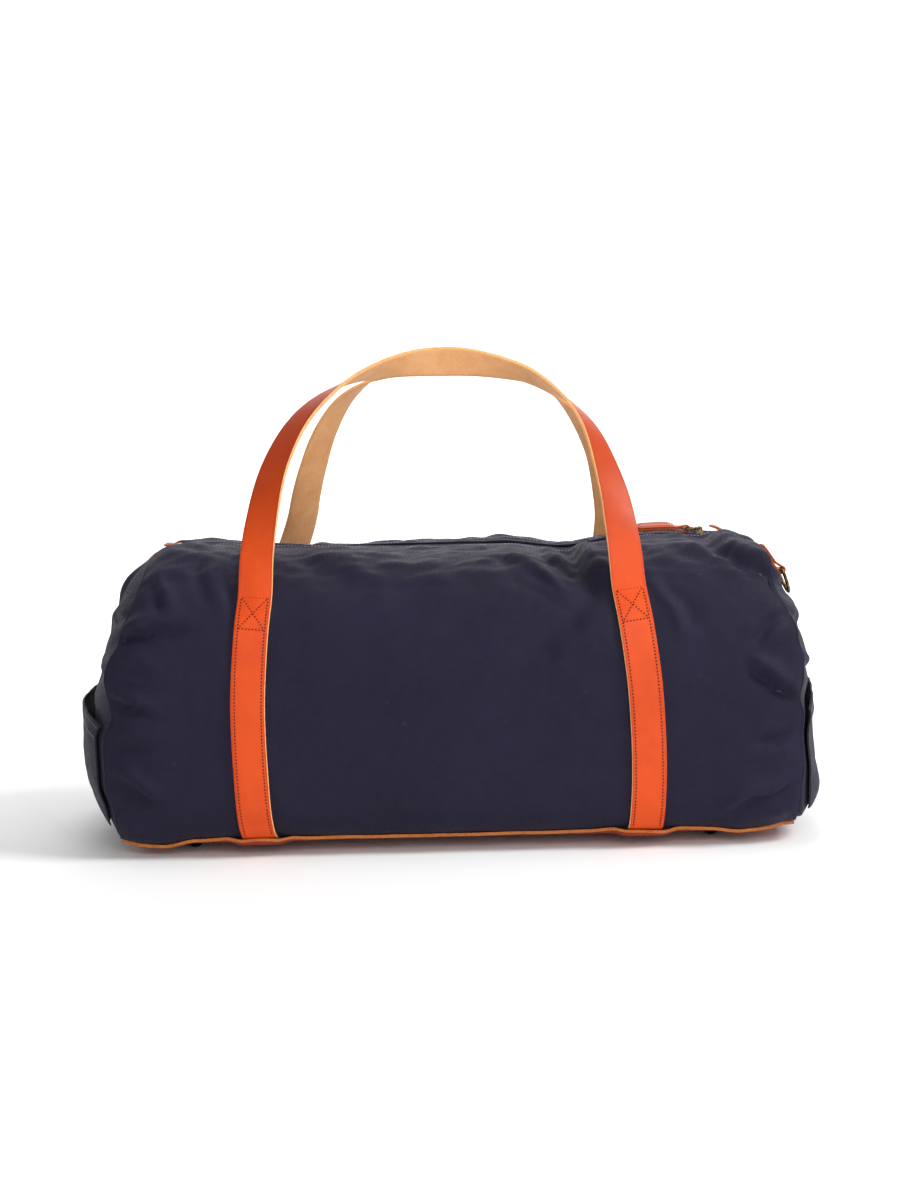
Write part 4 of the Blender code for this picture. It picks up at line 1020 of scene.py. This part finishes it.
def base_edge(x):
    """Girth of the leather base's raw edge: it stands highest beside the straps."""
    height = BASE_EDGE_HEIGHT - 0.0030 + 0.0005 * perlin(x / 0.045, x * 0 + 0.2, 50)
    for end in (LEFT, RIGHT):
        height = height + 0.0036 * np.exp(-((x - STRAP_SHIFT - end * 0.151) / 0.036) ** 2)
    height = height - 0.0020 * smooth(0.235, 0.268, np.abs(x))
    return girth_at(height)


def base_cover(materials):
    """Leather skin under the bag, turned up at the front and back, over the ends of the straps."""
    x = np.linspace(GAP - float(seam_x(LEFT, 0.0)), float(seam_x(RIGHT, 0.0)) - GAP, 236)
    share = np.linspace(-1, 1, 171)
    share = np.sign(share) * np.abs(share) ** 0.8
    share, x = np.meshgrid(share, x, indexing="ij")
    girth = np.abs(share) * base_edge(x)
    side = np.where(share < 0, FRONT, BACK)
    height = section(girth)[1]
    over = np.zeros(x.shape)
    for end in (LEFT, RIGHT):
        off = np.abs(x - strap_x(FRONT, end, np.full_like(x, BASE_EDGE_HEIGHT)))
        over = np.maximum(over, 1 - smooth(STRAP_EDGE, 0.028, off))
    rise = 0.0034 * over * smooth(0.0090, 0.0150, height)
    slack = 0.0005 * (1 + perlin(x / 0.035, share * 3, 51)) * smooth(0.0085, 0.0150, height)
    skirt = skin(x, girth, side, -(GAP + BASE_LEATHER) - rise - slack)
    inner = skin(x, girth, side, -GAP - rise - slack)
    for points in (skirt, inner):
        points[..., 1] = np.where(share == 0, 0.0, points[..., 1])
    droop(skirt)
    droop(inner)
    item = shell("base_leather", skirt, inner, materials, {"u": x, "v": share * girth})
    belong(item, "root", "base_leather", "base_panel")


def studs(material):
    """Domed feet, with their shanks through the bottom."""
    dome = [(FOOT_RADIUS * math.cos(t), FOOT_HEIGHT * 0.84 * (1 - math.sin(t)))
            for t in np.linspace(math.radians(3), math.radians(82), 12)]
    profile = [(0.0, 0.0172), (0.0015, 0.0172), (0.0015, FOOT_HEIGHT), (FOOT_RADIUS - 0.0006, FOOT_HEIGHT),
               (FOOT_RADIUS, FOOT_HEIGHT - 0.0004), *dome, (0.0, 0.0)]
    for side in (FRONT, BACK):
        for end in (LEFT, RIGHT):
            name = "%s_%s" % (SIDE_NAMES[side], END_NAMES[end])
            item = turned(name + "_stud", profile, 32, material)
            item.location = (end * FOOT_PLACE[0], side * FOOT_PLACE[1], 0.0)
            belong(item, "root", "foot_metal", name + "_foot")


def refined(node, body, material, slot, width):
    """A CAD node's own shape with its edges rounded."""
    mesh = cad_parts[node].data.copy()
    build = bmesh.new()
    build.from_mesh(mesh)
    bmesh.ops.remove_doubles(build, verts=build.verts, dist=1e-6)
    bmesh.ops.dissolve_limit(build, angle_limit=math.radians(4), verts=build.verts, edges=build.edges)
    build.to_mesh(mesh)
    build.free()
    rough = link(node + "_rough", mesh)
    bevel = rough.modifiers.new("round", "BEVEL")
    bevel.width, bevel.segments, bevel.limit_method = width, 2, "ANGLE"
    bevel.angle_limit = math.radians(38)
    bpy.context.view_layer.update()
    made = bpy.data.meshes.new_from_object(rough.evaluated_get(bpy.context.evaluated_depsgraph_get()))
    bpy.data.objects.remove(rough)
    item = shade(link(node + "_finished", made), 35)
    made.materials.clear()
    made.materials.append(material)
    belong(item, body, slot, node)


# ---------------------------------------------------------------- zip

TOOTH_PITCH = 0.0021
TOOTH_TIP = 0.00068
TAB_ROLL = math.radians(17)
HEM_PITCH = 0.0029          # topstitching of the lips and the pockets


def zip_side(side, tape, metal):
    """Tape and teeth of one side of the zip, from end to end."""
    reach = CHAIN_HALF + 0.009
    x, across = np.meshgrid(np.linspace(-reach, reach, 240),
                            np.array([0.0034, 0.0044, 0.0048, 0.0080, 0.0120, TAPE_OUTER]))
    bead = 0.00035 * np.exp(-((across - 0.0040) / 0.0006) ** 2)
    lift = 0.00012 * perlin(x / 0.02, across * 200, 60)
    top = np.stack([x, side * across, CHAIN_HEIGHT + 0.0004 + bead + lift], -1)
    low = np.stack([x, side * across, CHAIN_HEIGHT - 0.0004 - bead + lift], -1)
    for points in (top, low):
        points[..., 2] += sag(x, np.full_like(x, TOP_HEIGHT)) + tilt(side, x, across)
    name = SIDE_NAMES[side]
    item = shell(name + "_zip_band", top, low, (tape, tape, tape), {"u": x, "v": across})
    put_weights(item)
    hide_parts(name + "_zip_tape")

    outline = np.array([(-0.00042, 0.0043), (-0.00042, 0.0019), (-0.00066, 0.0013), (-0.00036, TOOTH_TIP),
                        (0.00036, TOOTH_TIP), (0.00066, 0.0013), (0.00042, 0.0019), (0.00042, 0.0043)])
    middle = outline.mean(0)
    levels = ((-0.00125, 0.72), (-0.00095, 1.0), (0.00095, 1.0), (0.00125, 0.72))
    points, faces, weights = [], [], []
    offset = TOOTH_PITCH / 4 * side
    for place in np.arange(-CHAIN_HALF + 0.002, CHAIN_HALF - 0.001, TOOTH_PITCH) + offset:
        start = len(points)
        fall = float(sag(np.array(place), np.array(TOP_HEIGHT)))
        for height, scale in levels:
            ring = middle + (outline - middle) * scale
            points += [(place + a, side * b, CHAIN_HEIGHT + height + fall) for a, b in ring]
        faces += [tuple(f) for f in grid_faces(len(levels), 8, wrap_columns=True, start=start)]
        faces += [tuple(range(start + 7, start - 1, -1)), tuple(range(start + 24, start + 32))]
        weights += [float(lens(place))] * 32
    item = solid(name + "_zip_row", points, faces, None, [metal], 40)
    put_weights(item)
    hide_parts(name + "_zip_teeth")


def lip_stitches(side, grid, material):
    """Row of topstitching along the folded edge of the canvas beside the zip."""
    x, girth, outer, way = grid
    row = int(np.argmin(np.abs(girth[:, 0] - (SLOT_GIRTH - 0.0070))))
    keep = np.abs(x[row]) < 0.226
    line = outer[row][keep] + way[row][keep] * 0.00005
    places = along_line(line, way[row][keep], HEM_PITCH)
    name = SIDE_NAMES[side] + "_lip_stitches"
    item = stitches(name, places, material, length=0.0021, radius=0.00042, sink=0.0)
    put_weights(item)


def roll(item, origin):
    """Rolls the far part of the pull tab towards the front."""
    points = np.empty(len(item.data.vertices) * 3)
    item.data.vertices.foreach_get("co", points)
    x, y, z = (points.reshape(-1, 3) - origin).T
    turn = TAB_ROLL * smooth(0.004, 0.018, -x)
    rolled = np.stack([x, y * np.cos(turn) - z * np.sin(turn),
                       z * np.cos(turn) + (y + TAB_HALF_WIDTH + 0.0001) * np.sin(turn)], -1)
    item.data.vertices.foreach_set("co", (origin + rolled).ravel())
    item.data.update()


def tab_bow(x):
    """Upward bow of the pull tab along its length."""
    return 0.0006 * np.sin((x + TAB_LENGTH) / TAB_LENGTH * math.pi)


def folded_tab(materials, thread):
    """Leather pull folded round the puller's far bar, its two layers sewn together."""
    bend = PULLER_WIRE * 1.5 + GAP + TAB_LEATHER / 2
    flat = TAB_LEATHER / 2 + GAP / 2
    origin = np.array([SLIDER_REST - PULLER_LENGTH, 0.0, CHAIN_HEIGHT + PIVOT_RISE])
    run = np.linspace(-TAB_LENGTH, -0.009, 26)
    loop = [(x, flat) for x in run] + arc((0.0, 0.0), bend, 115, -115, 21) + [(x, -flat) for x in run[::-1]]
    path = resample(np.array([(x, 0.0, z) for x, z in loop]), 0.0009)
    path[:, 2] += tab_bow(path[:, 0])
    ahead, outward = square_to(path, path * np.array([0.35, 0.0, 1.0]))
    base, kinds = round_strip(TAB_HALF_WIDTH, TAB_LEATHER / 2, 0.00035)
    corner = 0.003                            # radius of the tab's rounded corners
    from_end = np.minimum(path[:, 0] + TAB_LENGTH, corner)
    wide = 1 - (corner - np.sqrt(np.maximum(0.0, corner ** 2 - (corner - from_end) ** 2))) / TAB_HALF_WIDTH
    waist = 1 - 0.10 * smooth(-0.020, -0.004, path[:, 0])
    profile = base[None] * np.stack([wide * waist, np.ones_like(wide)], -1)[:, None]
    item = sweep("pull_tab_leather", path + origin, np.cross(outward, ahead), outward, profile, materials,
                 kinds, marks={"u": profile[..., 0], "v": np.repeat(lengths_of(path)[:, None], len(base), 1)})
    roll(item, origin)
    belong(item, "tab", "trim_leather", "pull_tab")
    rim = TAB_HALF_WIDTH - 0.0017
    top = flat + TAB_LEATHER / 2 + 0.0003
    line = [(-0.011, -rim * 0.93), (-TAB_LENGTH + 0.0035, -rim), (-TAB_LENGTH + 0.0018, -rim + 0.0016),
            (-TAB_LENGTH + 0.0018, rim - 0.0016), (-TAB_LENGTH + 0.0035, rim), (-0.011, rim * 0.93)]
    points = resample(np.array([(x, y, 0.0) for x, y in line]), 0.0005)
    places = []
    for face in (1, -1):
        here = points.copy()
        here[:, 2] = face * top + tab_bow(points[:, 0])
        places += along_line(here + origin, np.array([0.0, 0.0, float(face)]), 0.0023)
    item = stitches("pull_tab_stitches", places, thread, length=0.0017, radius=0.00028)
    roll(item, origin)
    belong(item, "tab", "trim_leather")


def patch_curl(end, share):
    """Lift of an end patch: the zip's pull bends it up at one end."""
    if end == RIGHT:
        return 0.0046 * (1 - smooth(0.0, 0.70, share))
    return 0.0012 * smooth(0.45, 1.0, share)


def end_patch(end, materials, thread):
    """Leather tab over the end of the zip, sewn round its edge."""
    name = END_NAMES[end] + "_zip_patch"
    y, share = np.meshgrid(np.linspace(-ZIP_TAB_HALF, ZIP_TAB_HALF, 31), np.linspace(0, 1, 27), indexing="ij")
    x = ZIP_TAB_START + share * (ZIP_TAB_END[end] - ZIP_TAB_START)
    side = np.where(y < 0, FRONT, BACK)
    edge = np.minimum(ZIP_TAB_HALF - np.abs(y),
                      np.minimum(share, 1 - share) * (ZIP_TAB_END[end] - ZIP_TAB_START))
    press = 0.0006 * (1 - smooth(0.0, 0.0022, edge)) + 0.00025 * perlin(x / 0.006, y / 0.006, 70)
    girth = HALF_GIRTH - np.abs(y)
    top = skin(end * x, girth, side, -(GAP + ZIP_TAB_THICK) + press)
    low = skin(end * x, girth, side, -GAP)
    for points in (top, low):
        points[..., 2] += patch_curl(end, share)
    item = shell(name, top, low, materials, {"u": y, "v": x})
    belong(item, "root", "trim_leather", END_NAMES[end] + "_zip_tab")
    inset = 0.0021
    low_x, high_x, wide = ZIP_TAB_START + inset, ZIP_TAB_END[end] - inset, ZIP_TAB_HALF - inset
    line = resample(np.array([(low_x, -wide, 0), (high_x, -wide, 0), (high_x, wide, 0), (low_x, wide, 0),
                              (low_x, -wide, 0)], float), 0.0006)
    spots = skin(end * line[:, 0], HALF_GIRTH - np.abs(line[:, 1]), np.where(line[:, 1] < 0, FRONT, BACK),
                 -(GAP + ZIP_TAB_THICK) + 0.00005)
    spots[:, 2] += patch_curl(end, (line[:, 0] - ZIP_TAB_START) / (ZIP_TAB_END[end] - ZIP_TAB_START))
    item = stitches(name + "_stitches", along_line(spots, np.array([0.0, 0.0, 1.0]), 0.0024), thread,
                    length=0.0018, radius=0.00030)
    belong(item, "root", "trim_leather")


# ---------------------------------------------------------------- ends: domes, pockets, loops and rings

RIM_LIP, RIM_STEP = 0.0030, 0.0010
RING_SET = {LEFT: 0.045, RIGHT: 0.0}
# Folds of each end panel in millimetres: y and z of one end, y and z of the other, width and depth
END_FOLDS = {
    LEFT: MM * np.array([
        (-110, 196, -50, 176, 8.5, 3), (-122, 150, -78, 146, 7.5, 2.6), (118, 172, 60, 160, 8.5, 3),
        (-60, 226, -34, 190, 8, 2.4), (70, 222, 38, 186, 8.5, 2.6), (10, 232, 4, 200, 7, 1.6)]),
    RIGHT: MM * np.array([
        (-116, 182, -64, 170, 8.5, 3), (-84, 222, -46, 192, 8, 2.8), (120, 190, 66, 168, 8.5, 3),
        (64, 228, 40, 196, 8, 2.4), (-124, 140, -86, 142, 7.5, 2.2), (124, 142, 88, 148, 7.5, 2.2)])}


def shell_from_rings(name, rings, middle, thickness, materials, marks):
    """Closed dished shell from rings of points and a middle point, thickened inwards."""
    rows, columns = rings.shape[:2]
    wrapped = np.concatenate((rings[:, -1:], rings, rings[:, :1]), 1)
    way = normals(wrapped)[:, 1:-1]
    if (way[rows // 2] * (rings[rows // 2] - [0, 0, MID_HEIGHT]))[:, 0].mean() < 0:
        way = -way
    inner = rings - way * thickness
    heart = np.array(middle)
    back = heart - np.array([math.copysign(thickness, heart[0]), 0, 0])
    count = rows * columns
    points = np.concatenate([rings.reshape(-1, 3), heart[None], inner.reshape(-1, 3), back[None]])
    outer_faces = [tuple(f) for f in grid_faces(rows, columns, wrap_columns=True)]
    last = (rows - 1) * columns
    outer_faces += [(last + k, last + (k + 1) % columns, count) for k in range(columns)]
    inner_faces = [tuple(v + count + 1 for v in f)[::-1] for f in outer_faces]
    edge = [((k + 1) % columns, k, k + count + 1, (k + 1) % columns + count + 1) for k in range(columns)]
    kinds = [0] * len(outer_faces) + [1] * len(inner_faces) + [2] * len(edge)
    marks = {key: np.tile(np.append(np.ravel(values), 0.0), 2) for key, values in marks.items()}
    return solid(name, points, outer_faces + inner_faces + edge, kinds, materials, 60, marks)


END_PUFF = {
    LEFT: table(((0.125, 0.0), (0.146, -0.0060), (0.200, -0.0066), (0.222, 0.0)), 0.005),
    RIGHT: table(((0.006, 0.0), (0.024, 0.0110), (0.038, 0.0118), (0.062, -0.0010), (0.076, -0.0035),
                  (0.118, -0.0030), (0.145, 0.0)), 0.005)}


def low_puff(end, y, z):
    """Slow swell of a packed end, over height, that fades towards the seam."""
    return np.interp(z, TABLE_HEIGHTS, END_PUFF[end]) * (1 - np.clip(np.abs(y) / 0.128, 0, 1) ** 4)


def dome_puff(end, y, z, share, girth):
    """How far an end panel stands out from its plain dome."""
    inside = (1 - share) * 0.13
    short = (inside / 0.010) * np.exp(1 - inside / 0.010)
    long = smooth(0.0, 0.020, inside) * np.exp(-inside / 0.030)
    total = 0.0014 * short * pleats(girth, 90 + end) + 0.0032 * long * pleats(girth, 95 + end) + 0.0012 * long
    for fold in END_FOLDS[end]:
        total = total + END_CREASE * crease(y, z, *fold)
    total = total + 0.0016 * perlin(y / 0.055, z / 0.048, 97 + end) * (1 - share ** 6)
    total = total + 0.0004 * perlin(y / 0.019, z / 0.017, 98) * (1 - share ** 6)
    calm = 1.0 - 0.85 * np.exp(-(((y - RING_SET[end]) / 0.022) ** 2 + ((z - 0.222) / 0.024) ** 2))
    if end == RIGHT:                          # the canvas falls away beside the D-ring's strap
        fall = smooth(0.188, 0.204, z) * (1 - smooth(0.222, 0.238, z)) * (1 - smooth(0.086, 0.108, np.abs(y)))
        total = total - 0.0062 * fall * smooth(0.015, 0.036, np.abs(y))
    return total * calm * (0.30 + 0.70 * smooth(0.104, 0.132, z)) + low_puff(end, y, z)


def end_canvas(end, materials):
    """Domed end panel, gathered into the seam."""
    half = np.linspace(0.0, HALF_GIRTH, 170)
    girth = np.concatenate((half, half[-2:0:-1]))
    side = np.concatenate((np.full(len(half), FRONT), np.full(len(half) - 2, BACK)))
    height = section(girth)[1]
    rim = skin(end * seam_x(end, height), girth, side, SEAM_TUCK)
    around = girth * side
    shares = np.concatenate(([1.0, 1.0], 1 - np.linspace(0.012, 0.97, 56) ** 1.15))
    push = np.concatenate(([-RIM_LIP, RIM_STEP], np.full(len(shares) - 2, RIM_STEP)))
    rings, marks_u, marks_v = [], [], []
    for share, step in zip(shares, push):
        y = share * rim[:, 1]
        z = MID_HEIGHT + share * (rim[:, 2] - MID_HEIGHT)
        bulge = (DOME_HALF - np.abs(rim[:, 0]) - RIM_STEP) * (1 - share ** DOME_ROUND)
        out = np.abs(rim[:, 0]) + step + bulge
        if share < 1:
            out = out + dome_puff(end, y, z, share, around)
        rings.append(np.stack([end * out, y, z], -1))
        marks_u.append(y)
        marks_v.append(z)
    middle = (end * (DOME_HALF + 0.0002), 0.0, MID_HEIGHT)
    rings = np.array(rings)
    droop(rings)
    item = shell_from_rings(END_NAMES[end] + "_end_canvas", rings, middle, CANVAS_THICK, materials,
                            {"u": np.array(marks_u), "v": np.array(marks_v)})
    belong(item, "root", "canvas", END_NAMES[end] + "_end_panel")


def pocket_point(end, across, row, lift):
    """Points of a pocket's outer surface; across is -1 to 1, and row 0 at the foot to 1 at the mouth."""
    scale = shrink(np.array(SEAM_HALF))
    wide = (HALF_DEPTH * scale - SEAM_TUCK) * POCKET_EDGE
    tall = (MID_HEIGHT - BOTTOM_HEIGHT) * scale - SEAM_TUCK
    mouth = POCKET_MOUTH - POCKET_MOUTH_DIP * across ** 2
    z = POCKET_FOOT + (mouth - POCKET_FOOT) * row
    drop = np.clip((MID_HEIGHT - z) / tall, 0.0, 1.0)
    y = across * wide * (1 - drop ** LOWER_ROUND) ** (1 / LOWER_ROUND)
    bulge = POCKET_BULGE * (1 - across ** 2) * smooth(-0.1, 0.5, row) * (0.75 if end == RIGHT else 1.0)
    wave = 0.0011 * perlin(across * 4.2, row * 3.0, 110 + end)
    wave = wave + 0.0005 * perlin(across * 11, row * 7, 112 + end)
    wave = wave * (1 - across ** 4) * smooth(0.0, 0.25, row)
    gape = 0.0012 * perlin(across * 3.1, across * 0, 114 + end) * smooth(0.75, 1.0, row) * (1 - across ** 2)
    stand = POCKET_LIFT + POCKET_CANVAS + bulge + wave + gape + lift + low_puff(end, y, z)
    return dome_point(end, y, z, stand)


def end_pocket(end, materials, thread):
    """Slip pocket over the lower half of the end, with a turned hem."""
    rows = np.concatenate((np.linspace(0, 0.86, 52), np.linspace(0.868, 1.0, 14)))
    row, across = np.meshgrid(rows, np.sin(np.linspace(-math.pi / 2, math.pi / 2, 110)), indexing="ij")
    hem = 0.0006 * smooth(0.862, 0.880, row) - 0.0004 * np.exp(-((row - 0.885) / 0.006) ** 2)
    hem = hem - 0.0005 * smooth(0.985, 1.0, row)
    outer = pocket_point(end, across, row, hem)
    inner = outer - np.array([end * (POCKET_CANVAS - 0.0002), 0, 0])
    item = shell(END_NAMES[end] + "_pocket_canvas", outer, inner, materials,
                 {"u": outer[..., 1], "v": outer[..., 2]})
    belong(item, "root", "canvas", END_NAMES[end] + "_end_pocket")
    places = []
    for level in (0.885, 0.972):
        run = np.linspace(-0.985, 0.985, 160)
        line = pocket_point(end, run, np.full_like(run, level), 0.0003 if level > 0.9 else 0.0001)
        places += along_line(line, np.array([float(end), 0.0, 0.0]), HEM_PITCH)
    item = stitches(END_NAMES[end] + "_pocket_stitches", places, thread, length=0.0021, radius=0.00027)
    belong(item, "root", "canvas")


def ring_seat(end):
    """D-ring bar's centre, and the end panel's outward direction there."""
    scale = float(shrink(seam_x(end, TOP_HEIGHT)))

    def level(share):
        return MID_HEIGHT + share * ((TOP_HEIGHT - MID_HEIGHT) * scale - SEAM_TUCK)

    def way(z):
        run = dome_point(end, RING_SET[end], z + 0.002) - dome_point(end, RING_SET[end], z - 0.002)
        run = run / np.linalg.norm(run)
        return np.array([abs(run[2]) * end, 0.0, abs(run[0])])

    height = level(RING_SEAT)
    return dome_point(end, RING_SET[end], height) + way(height) * RING_STAND, level, way


def wire_ring(end, metal):
    """D-ring: a straight bar and a round bow of one brazed wire."""
    bar = ring_seat(end)[0]
    down = np.array([end * math.sin(RING_LEAN), 0.0, -math.cos(RING_LEAN)])
    drop, bend = 0.004, 0.002             # straight flanks, and the bends beside the bar
    deep = RING_DEPTH - drop
    bow = [(RING_HALF * math.cos(t), drop + deep * math.sin(t)) for t in np.linspace(0.0, math.pi, 41)]
    corner = arc((RING_HALF - bend, bend), bend, -90, 0, 7)
    bar_end = RING_HALF - bend
    outline = [(y, 0.0) for y in np.linspace(-bar_end, bar_end, 18)] + corner[1:] + bow[1:-1]
    outline += [(-y, fall) for y, fall in reversed(corner[1:])]
    path = np.array([bar + down * fall + np.array([0.0, y, 0.0]) for y, fall in outline])
    ahead = unit(np.roll(path, -1, 0) - np.roll(path, 1, 0))
    flat = np.cross(down, (0.0, 1.0, 0.0))
    across = np.repeat(flat[None], len(path), 0)
    outward = np.cross(ahead, across)
    wire = arc((0.0, 0.0), RING_WIRE, 0, 360, 17)[:-1]
    item = sweep(END_NAMES[end] + "_ring_wire", path, across, outward, wire, [metal], closed=True)
    belong(item, END_NAMES[end] + "_ring", "ring_metal", END_NAMES[end] + "_d_ring")


def ring_strap(end, materials, thread):
    """Leather strip from the end seam, folded round the D-ring's bar."""
    bar, level, way = ring_seat(end)
    out = way(bar[2])
    along = np.array([-out[2] * end, 0.0, abs(out[0])])
    bend = RING_WIRE + 2 * GAP + LOOP_LEATHER / 2
    lift = LOOP_LEATHER / 2 + LOOP_LIFT
    heights = np.linspace(level(LOOP_TOP), bar[2] + LOOP_NECK, 14)
    under = [dome_point(end, RING_SET[end], z) + way(z) * lift for z in heights]
    over = [point + way(z) * (LOOP_LEATHER + 2 * GAP) for point, z in zip(under, heights)]
    fold = [bar - along * a - out * b for a, b in arc((0.0, 0.0), bend, 80, -100, 19)]
    path = resample(np.array(under + fold + over[::-1]), 0.0009)
    centre = (path - bar) @ along
    middle_line = np.array([point + way(z) * (LOOP_LEATHER / 2 + GAP) for point, z in zip(under, heights)])
    nearest = np.argmin(np.linalg.norm(path[:, None] - middle_line[None], axis=2), axis=1)
    away = np.where((centre > LOOP_NECK * 0.6)[:, None], path - middle_line[nearest], path - bar)
    ahead, outward = square_to(path, away)
    for k in range(1, len(outward)):
        if outward[k] @ outward[k - 1] < 0:
            outward[k] *= -1
    across = np.cross(outward, ahead)
    profile, kinds = round_strip(LOOP_HALF, LOOP_LEATHER / 2, 0.0004)
    marks = {"u": np.repeat(profile[None, :, 0], len(path), 0),
             "v": np.repeat(lengths_of(path)[:, None], len(profile), 1)}
    name = END_NAMES[end] + "_ring_strap"
    item = sweep(name, path, across, outward, profile, materials, kinds, marks=marks)
    belong(item, "root", "trim_leather", END_NAMES[end] + "_ring_loop")
    places = []
    for height in (heights[0] - 0.0035, heights[-1] + 0.0012):
        here = dome_point(end, RING_SET[end], height) + way(height) * (lift + LOOP_LEATHER * 1.5 + 2 * GAP)
        half = LOOP_HALF - 0.0018
        row = np.array([here + np.array([0.0, y, 0.0]) for y in np.linspace(-half, half, 9)])
        places += along_line(row, way(height), 0.0024)
    item = stitches(name + "_stitches", places, thread, length=0.0018)
    belong(item, "root", "trim_leather")


TRIM = grain_material("trim_grain", tint(190, 70, 18), tint(140, 46, 10), tint(206, 92, 36))
# Painted shade: the base leather gets the dark red-brown that it shows in shade low by the floor, darker than
# the straps' leather.
BASE_GRAIN_SHADED = grain_material("base_grain_painted_shade", tint(158, 50, 12), tint(118, 36, 8), tint(178, 68, 24))
STEEL = metal_material("antique_brass", tint(74, 56, 38), tint(150, 122, 84))
FOOT_METAL = metal_material("dark_brass", tint(36, 28, 24), tint(72, 58, 46), rough=(0.25, 0.42))
TEETH = metal_material("zip_brass", tint(70, 58, 46), tint(128, 108, 82))
TAPE = tape_material("zip_tape", tint(16, 15, 20), tint(34, 32, 42))
BINDING = tape_material("seam_tape", tint(34, 32, 44), tint(58, 56, 70), flat=False)
BOARD = board_material("fibre_board")
NAVY_THREAD = thread_material("navy_thread", tint(168, 164, 186), tint(110, 106, 130))
BOTTOM_CLOTH = canvas_material("bottom_canvas", tint(34, 32, 44), tint(56, 54, 68), flat=False)
TRIM_EDGE = edge_material("trim_edge", tint(190, 84, 26), tint(150, 54, 12))
LEATHER = (TRIM, FLESH, TRIM_EDGE)
BASE_CUT = edge_material("base_cut_edge", tint(208, 126, 64), tint(150, 62, 24))

base_cover((BASE_GRAIN_SHADED, FLESH, BASE_CUT))
studs(FOOT_METAL)
for bag_side in (FRONT, BACK):
    zip_side(bag_side, TAPE, TEETH)
    lip_stitches(bag_side, SIDES[bag_side], NAVY_THREAD)
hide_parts("left_zip_end", "right_zip_end")
refined("zip_slider", "slider", STEEL, "slider_metal", 0.00022)
refined("zip_puller", "puller", STEEL, "slider_metal", 0.00030)
folded_tab(LEATHER, THREAD)
for bag_end in (LEFT, RIGHT):
    end_canvas(bag_end, CLOTH)
    end_pocket(bag_end, CLOTH, NAVY_THREAD)
    end_patch(bag_end, LEATHER, THREAD)
    wire_ring(bag_end, STEEL)
    ring_strap(bag_end, LEATHER, THREAD)
    refined(END_NAMES[bag_end] + "_zip_stop", "root", TEETH, "zip_metal", 0.00035)
KEPT = {"bottom_panel": BOTTOM_CLOTH, "base_board": BOARD, "left_seam_binding": BINDING,
        "right_seam_binding": BINDING}
for foot_side in ("front", "back"):
    for foot_end in ("left", "right"):
        KEPT["%s_%s_foot_washer" % (foot_side, foot_end)] = STEEL
for node_name, finish in KEPT.items():
    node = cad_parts[node_name]
    if node.material_slots:
        node.material_slots[0].material = finish
    else:
        node.data.materials.append(finish)


# ---------------------------------------------------------------- camera, floor and light

CAMERA_PLACE = Vector((0.0024, -1.546, 0.330))
CAMERA_TILT = math.radians(5.10)
CAMERA_ROLL = math.radians(1.4)
CAMERA_LENS = 53.85         # in millimetres
WORLD_LIGHT = 0.36


def make_camera():
    data = bpy.data.cameras.new("camera")
    data.lens = CAMERA_LENS
    data.clip_start, data.clip_end = 0.05, 60.0
    camera = bpy.data.objects.new("camera", data)
    bpy.context.scene.collection.objects.link(camera)
    camera.location = CAMERA_PLACE
    turn = Matrix.Rotation(math.pi / 2 - CAMERA_TILT, 4, "X") @ Matrix.Rotation(-CAMERA_ROLL, 4, "Z")
    camera.rotation_euler = turn.to_euler()
    bpy.context.scene.camera = camera


def make_floor():
    """Floor that turns up into a backdrop."""
    bend, depth, wide, tall = 1.2, 3.0, 9.0, 6.0
    line = [(-6.0, 0.0), (depth, 0.0)]
    turns = np.linspace(0.1, math.pi / 2, 14)
    line += [(depth + bend * math.sin(t), bend * (1 - math.cos(t))) for t in turns]
    line += [(depth + bend, tall)]
    points = np.array([[(x, y, z) for x in (-wide, wide)] for y, z in line])
    floor = shade(link("floor", mesh_of("floor", points.reshape(-1, 3), grid_faces(len(line), 2))))
    n = Nodes("floor_paper")
    tone = n.mix(n.noise(n.place(), 3.0, 3), (0.96, 0.96, 0.96, 1), (0.98, 0.98, 0.98, 1))
    floor.data.materials.append(n.finish(tone, 0.9))


def make_light(name, place, aim, size, power):
    data = bpy.data.lights.new(name, "AREA")
    data.size = size
    data.energy = power
    lamp = bpy.data.objects.new(name, data)
    bpy.context.scene.collection.objects.link(lamp)
    lamp.location = place
    lamp.rotation_euler = (Vector(aim) - Vector(place)).to_track_quat("-Z", "Y").to_euler()


def make_studio():
    make_light("key", (2.2, -0.8, 2.4), (0.05, 0.0, 0.12), 1.1, 72.0)
    make_light("fill", (0.6, -2.7, 1.2), (0.0, 0.0, 0.12), 2.0, 32.0)
    make_light("top", (-0.2, 0.1, 2.4), (0.0, 0.0, 0.1), 1.3, 10.0)
    make_light("back", (0.4, 2.2, 1.8), (0.0, 0.0, 0.2), 1.8, 12.0)
    make_light("wall", (0.0, 1.4, 2.6), (0.0, 3.6, 1.4), 2.6, 130.0)
    world = bpy.data.worlds.new("studio")
    bpy.context.scene.world = world
    world.use_nodes = True
    shine = world.node_tree.nodes["Background"]
    shine.inputs["Color"].default_value = (1.0, 1.0, 1.0, 1.0)
    shine.inputs["Strength"].default_value = WORLD_LIGHT
    bpy.context.scene.view_settings.view_transform = "Standard"


make_camera()
make_floor()
make_studio()
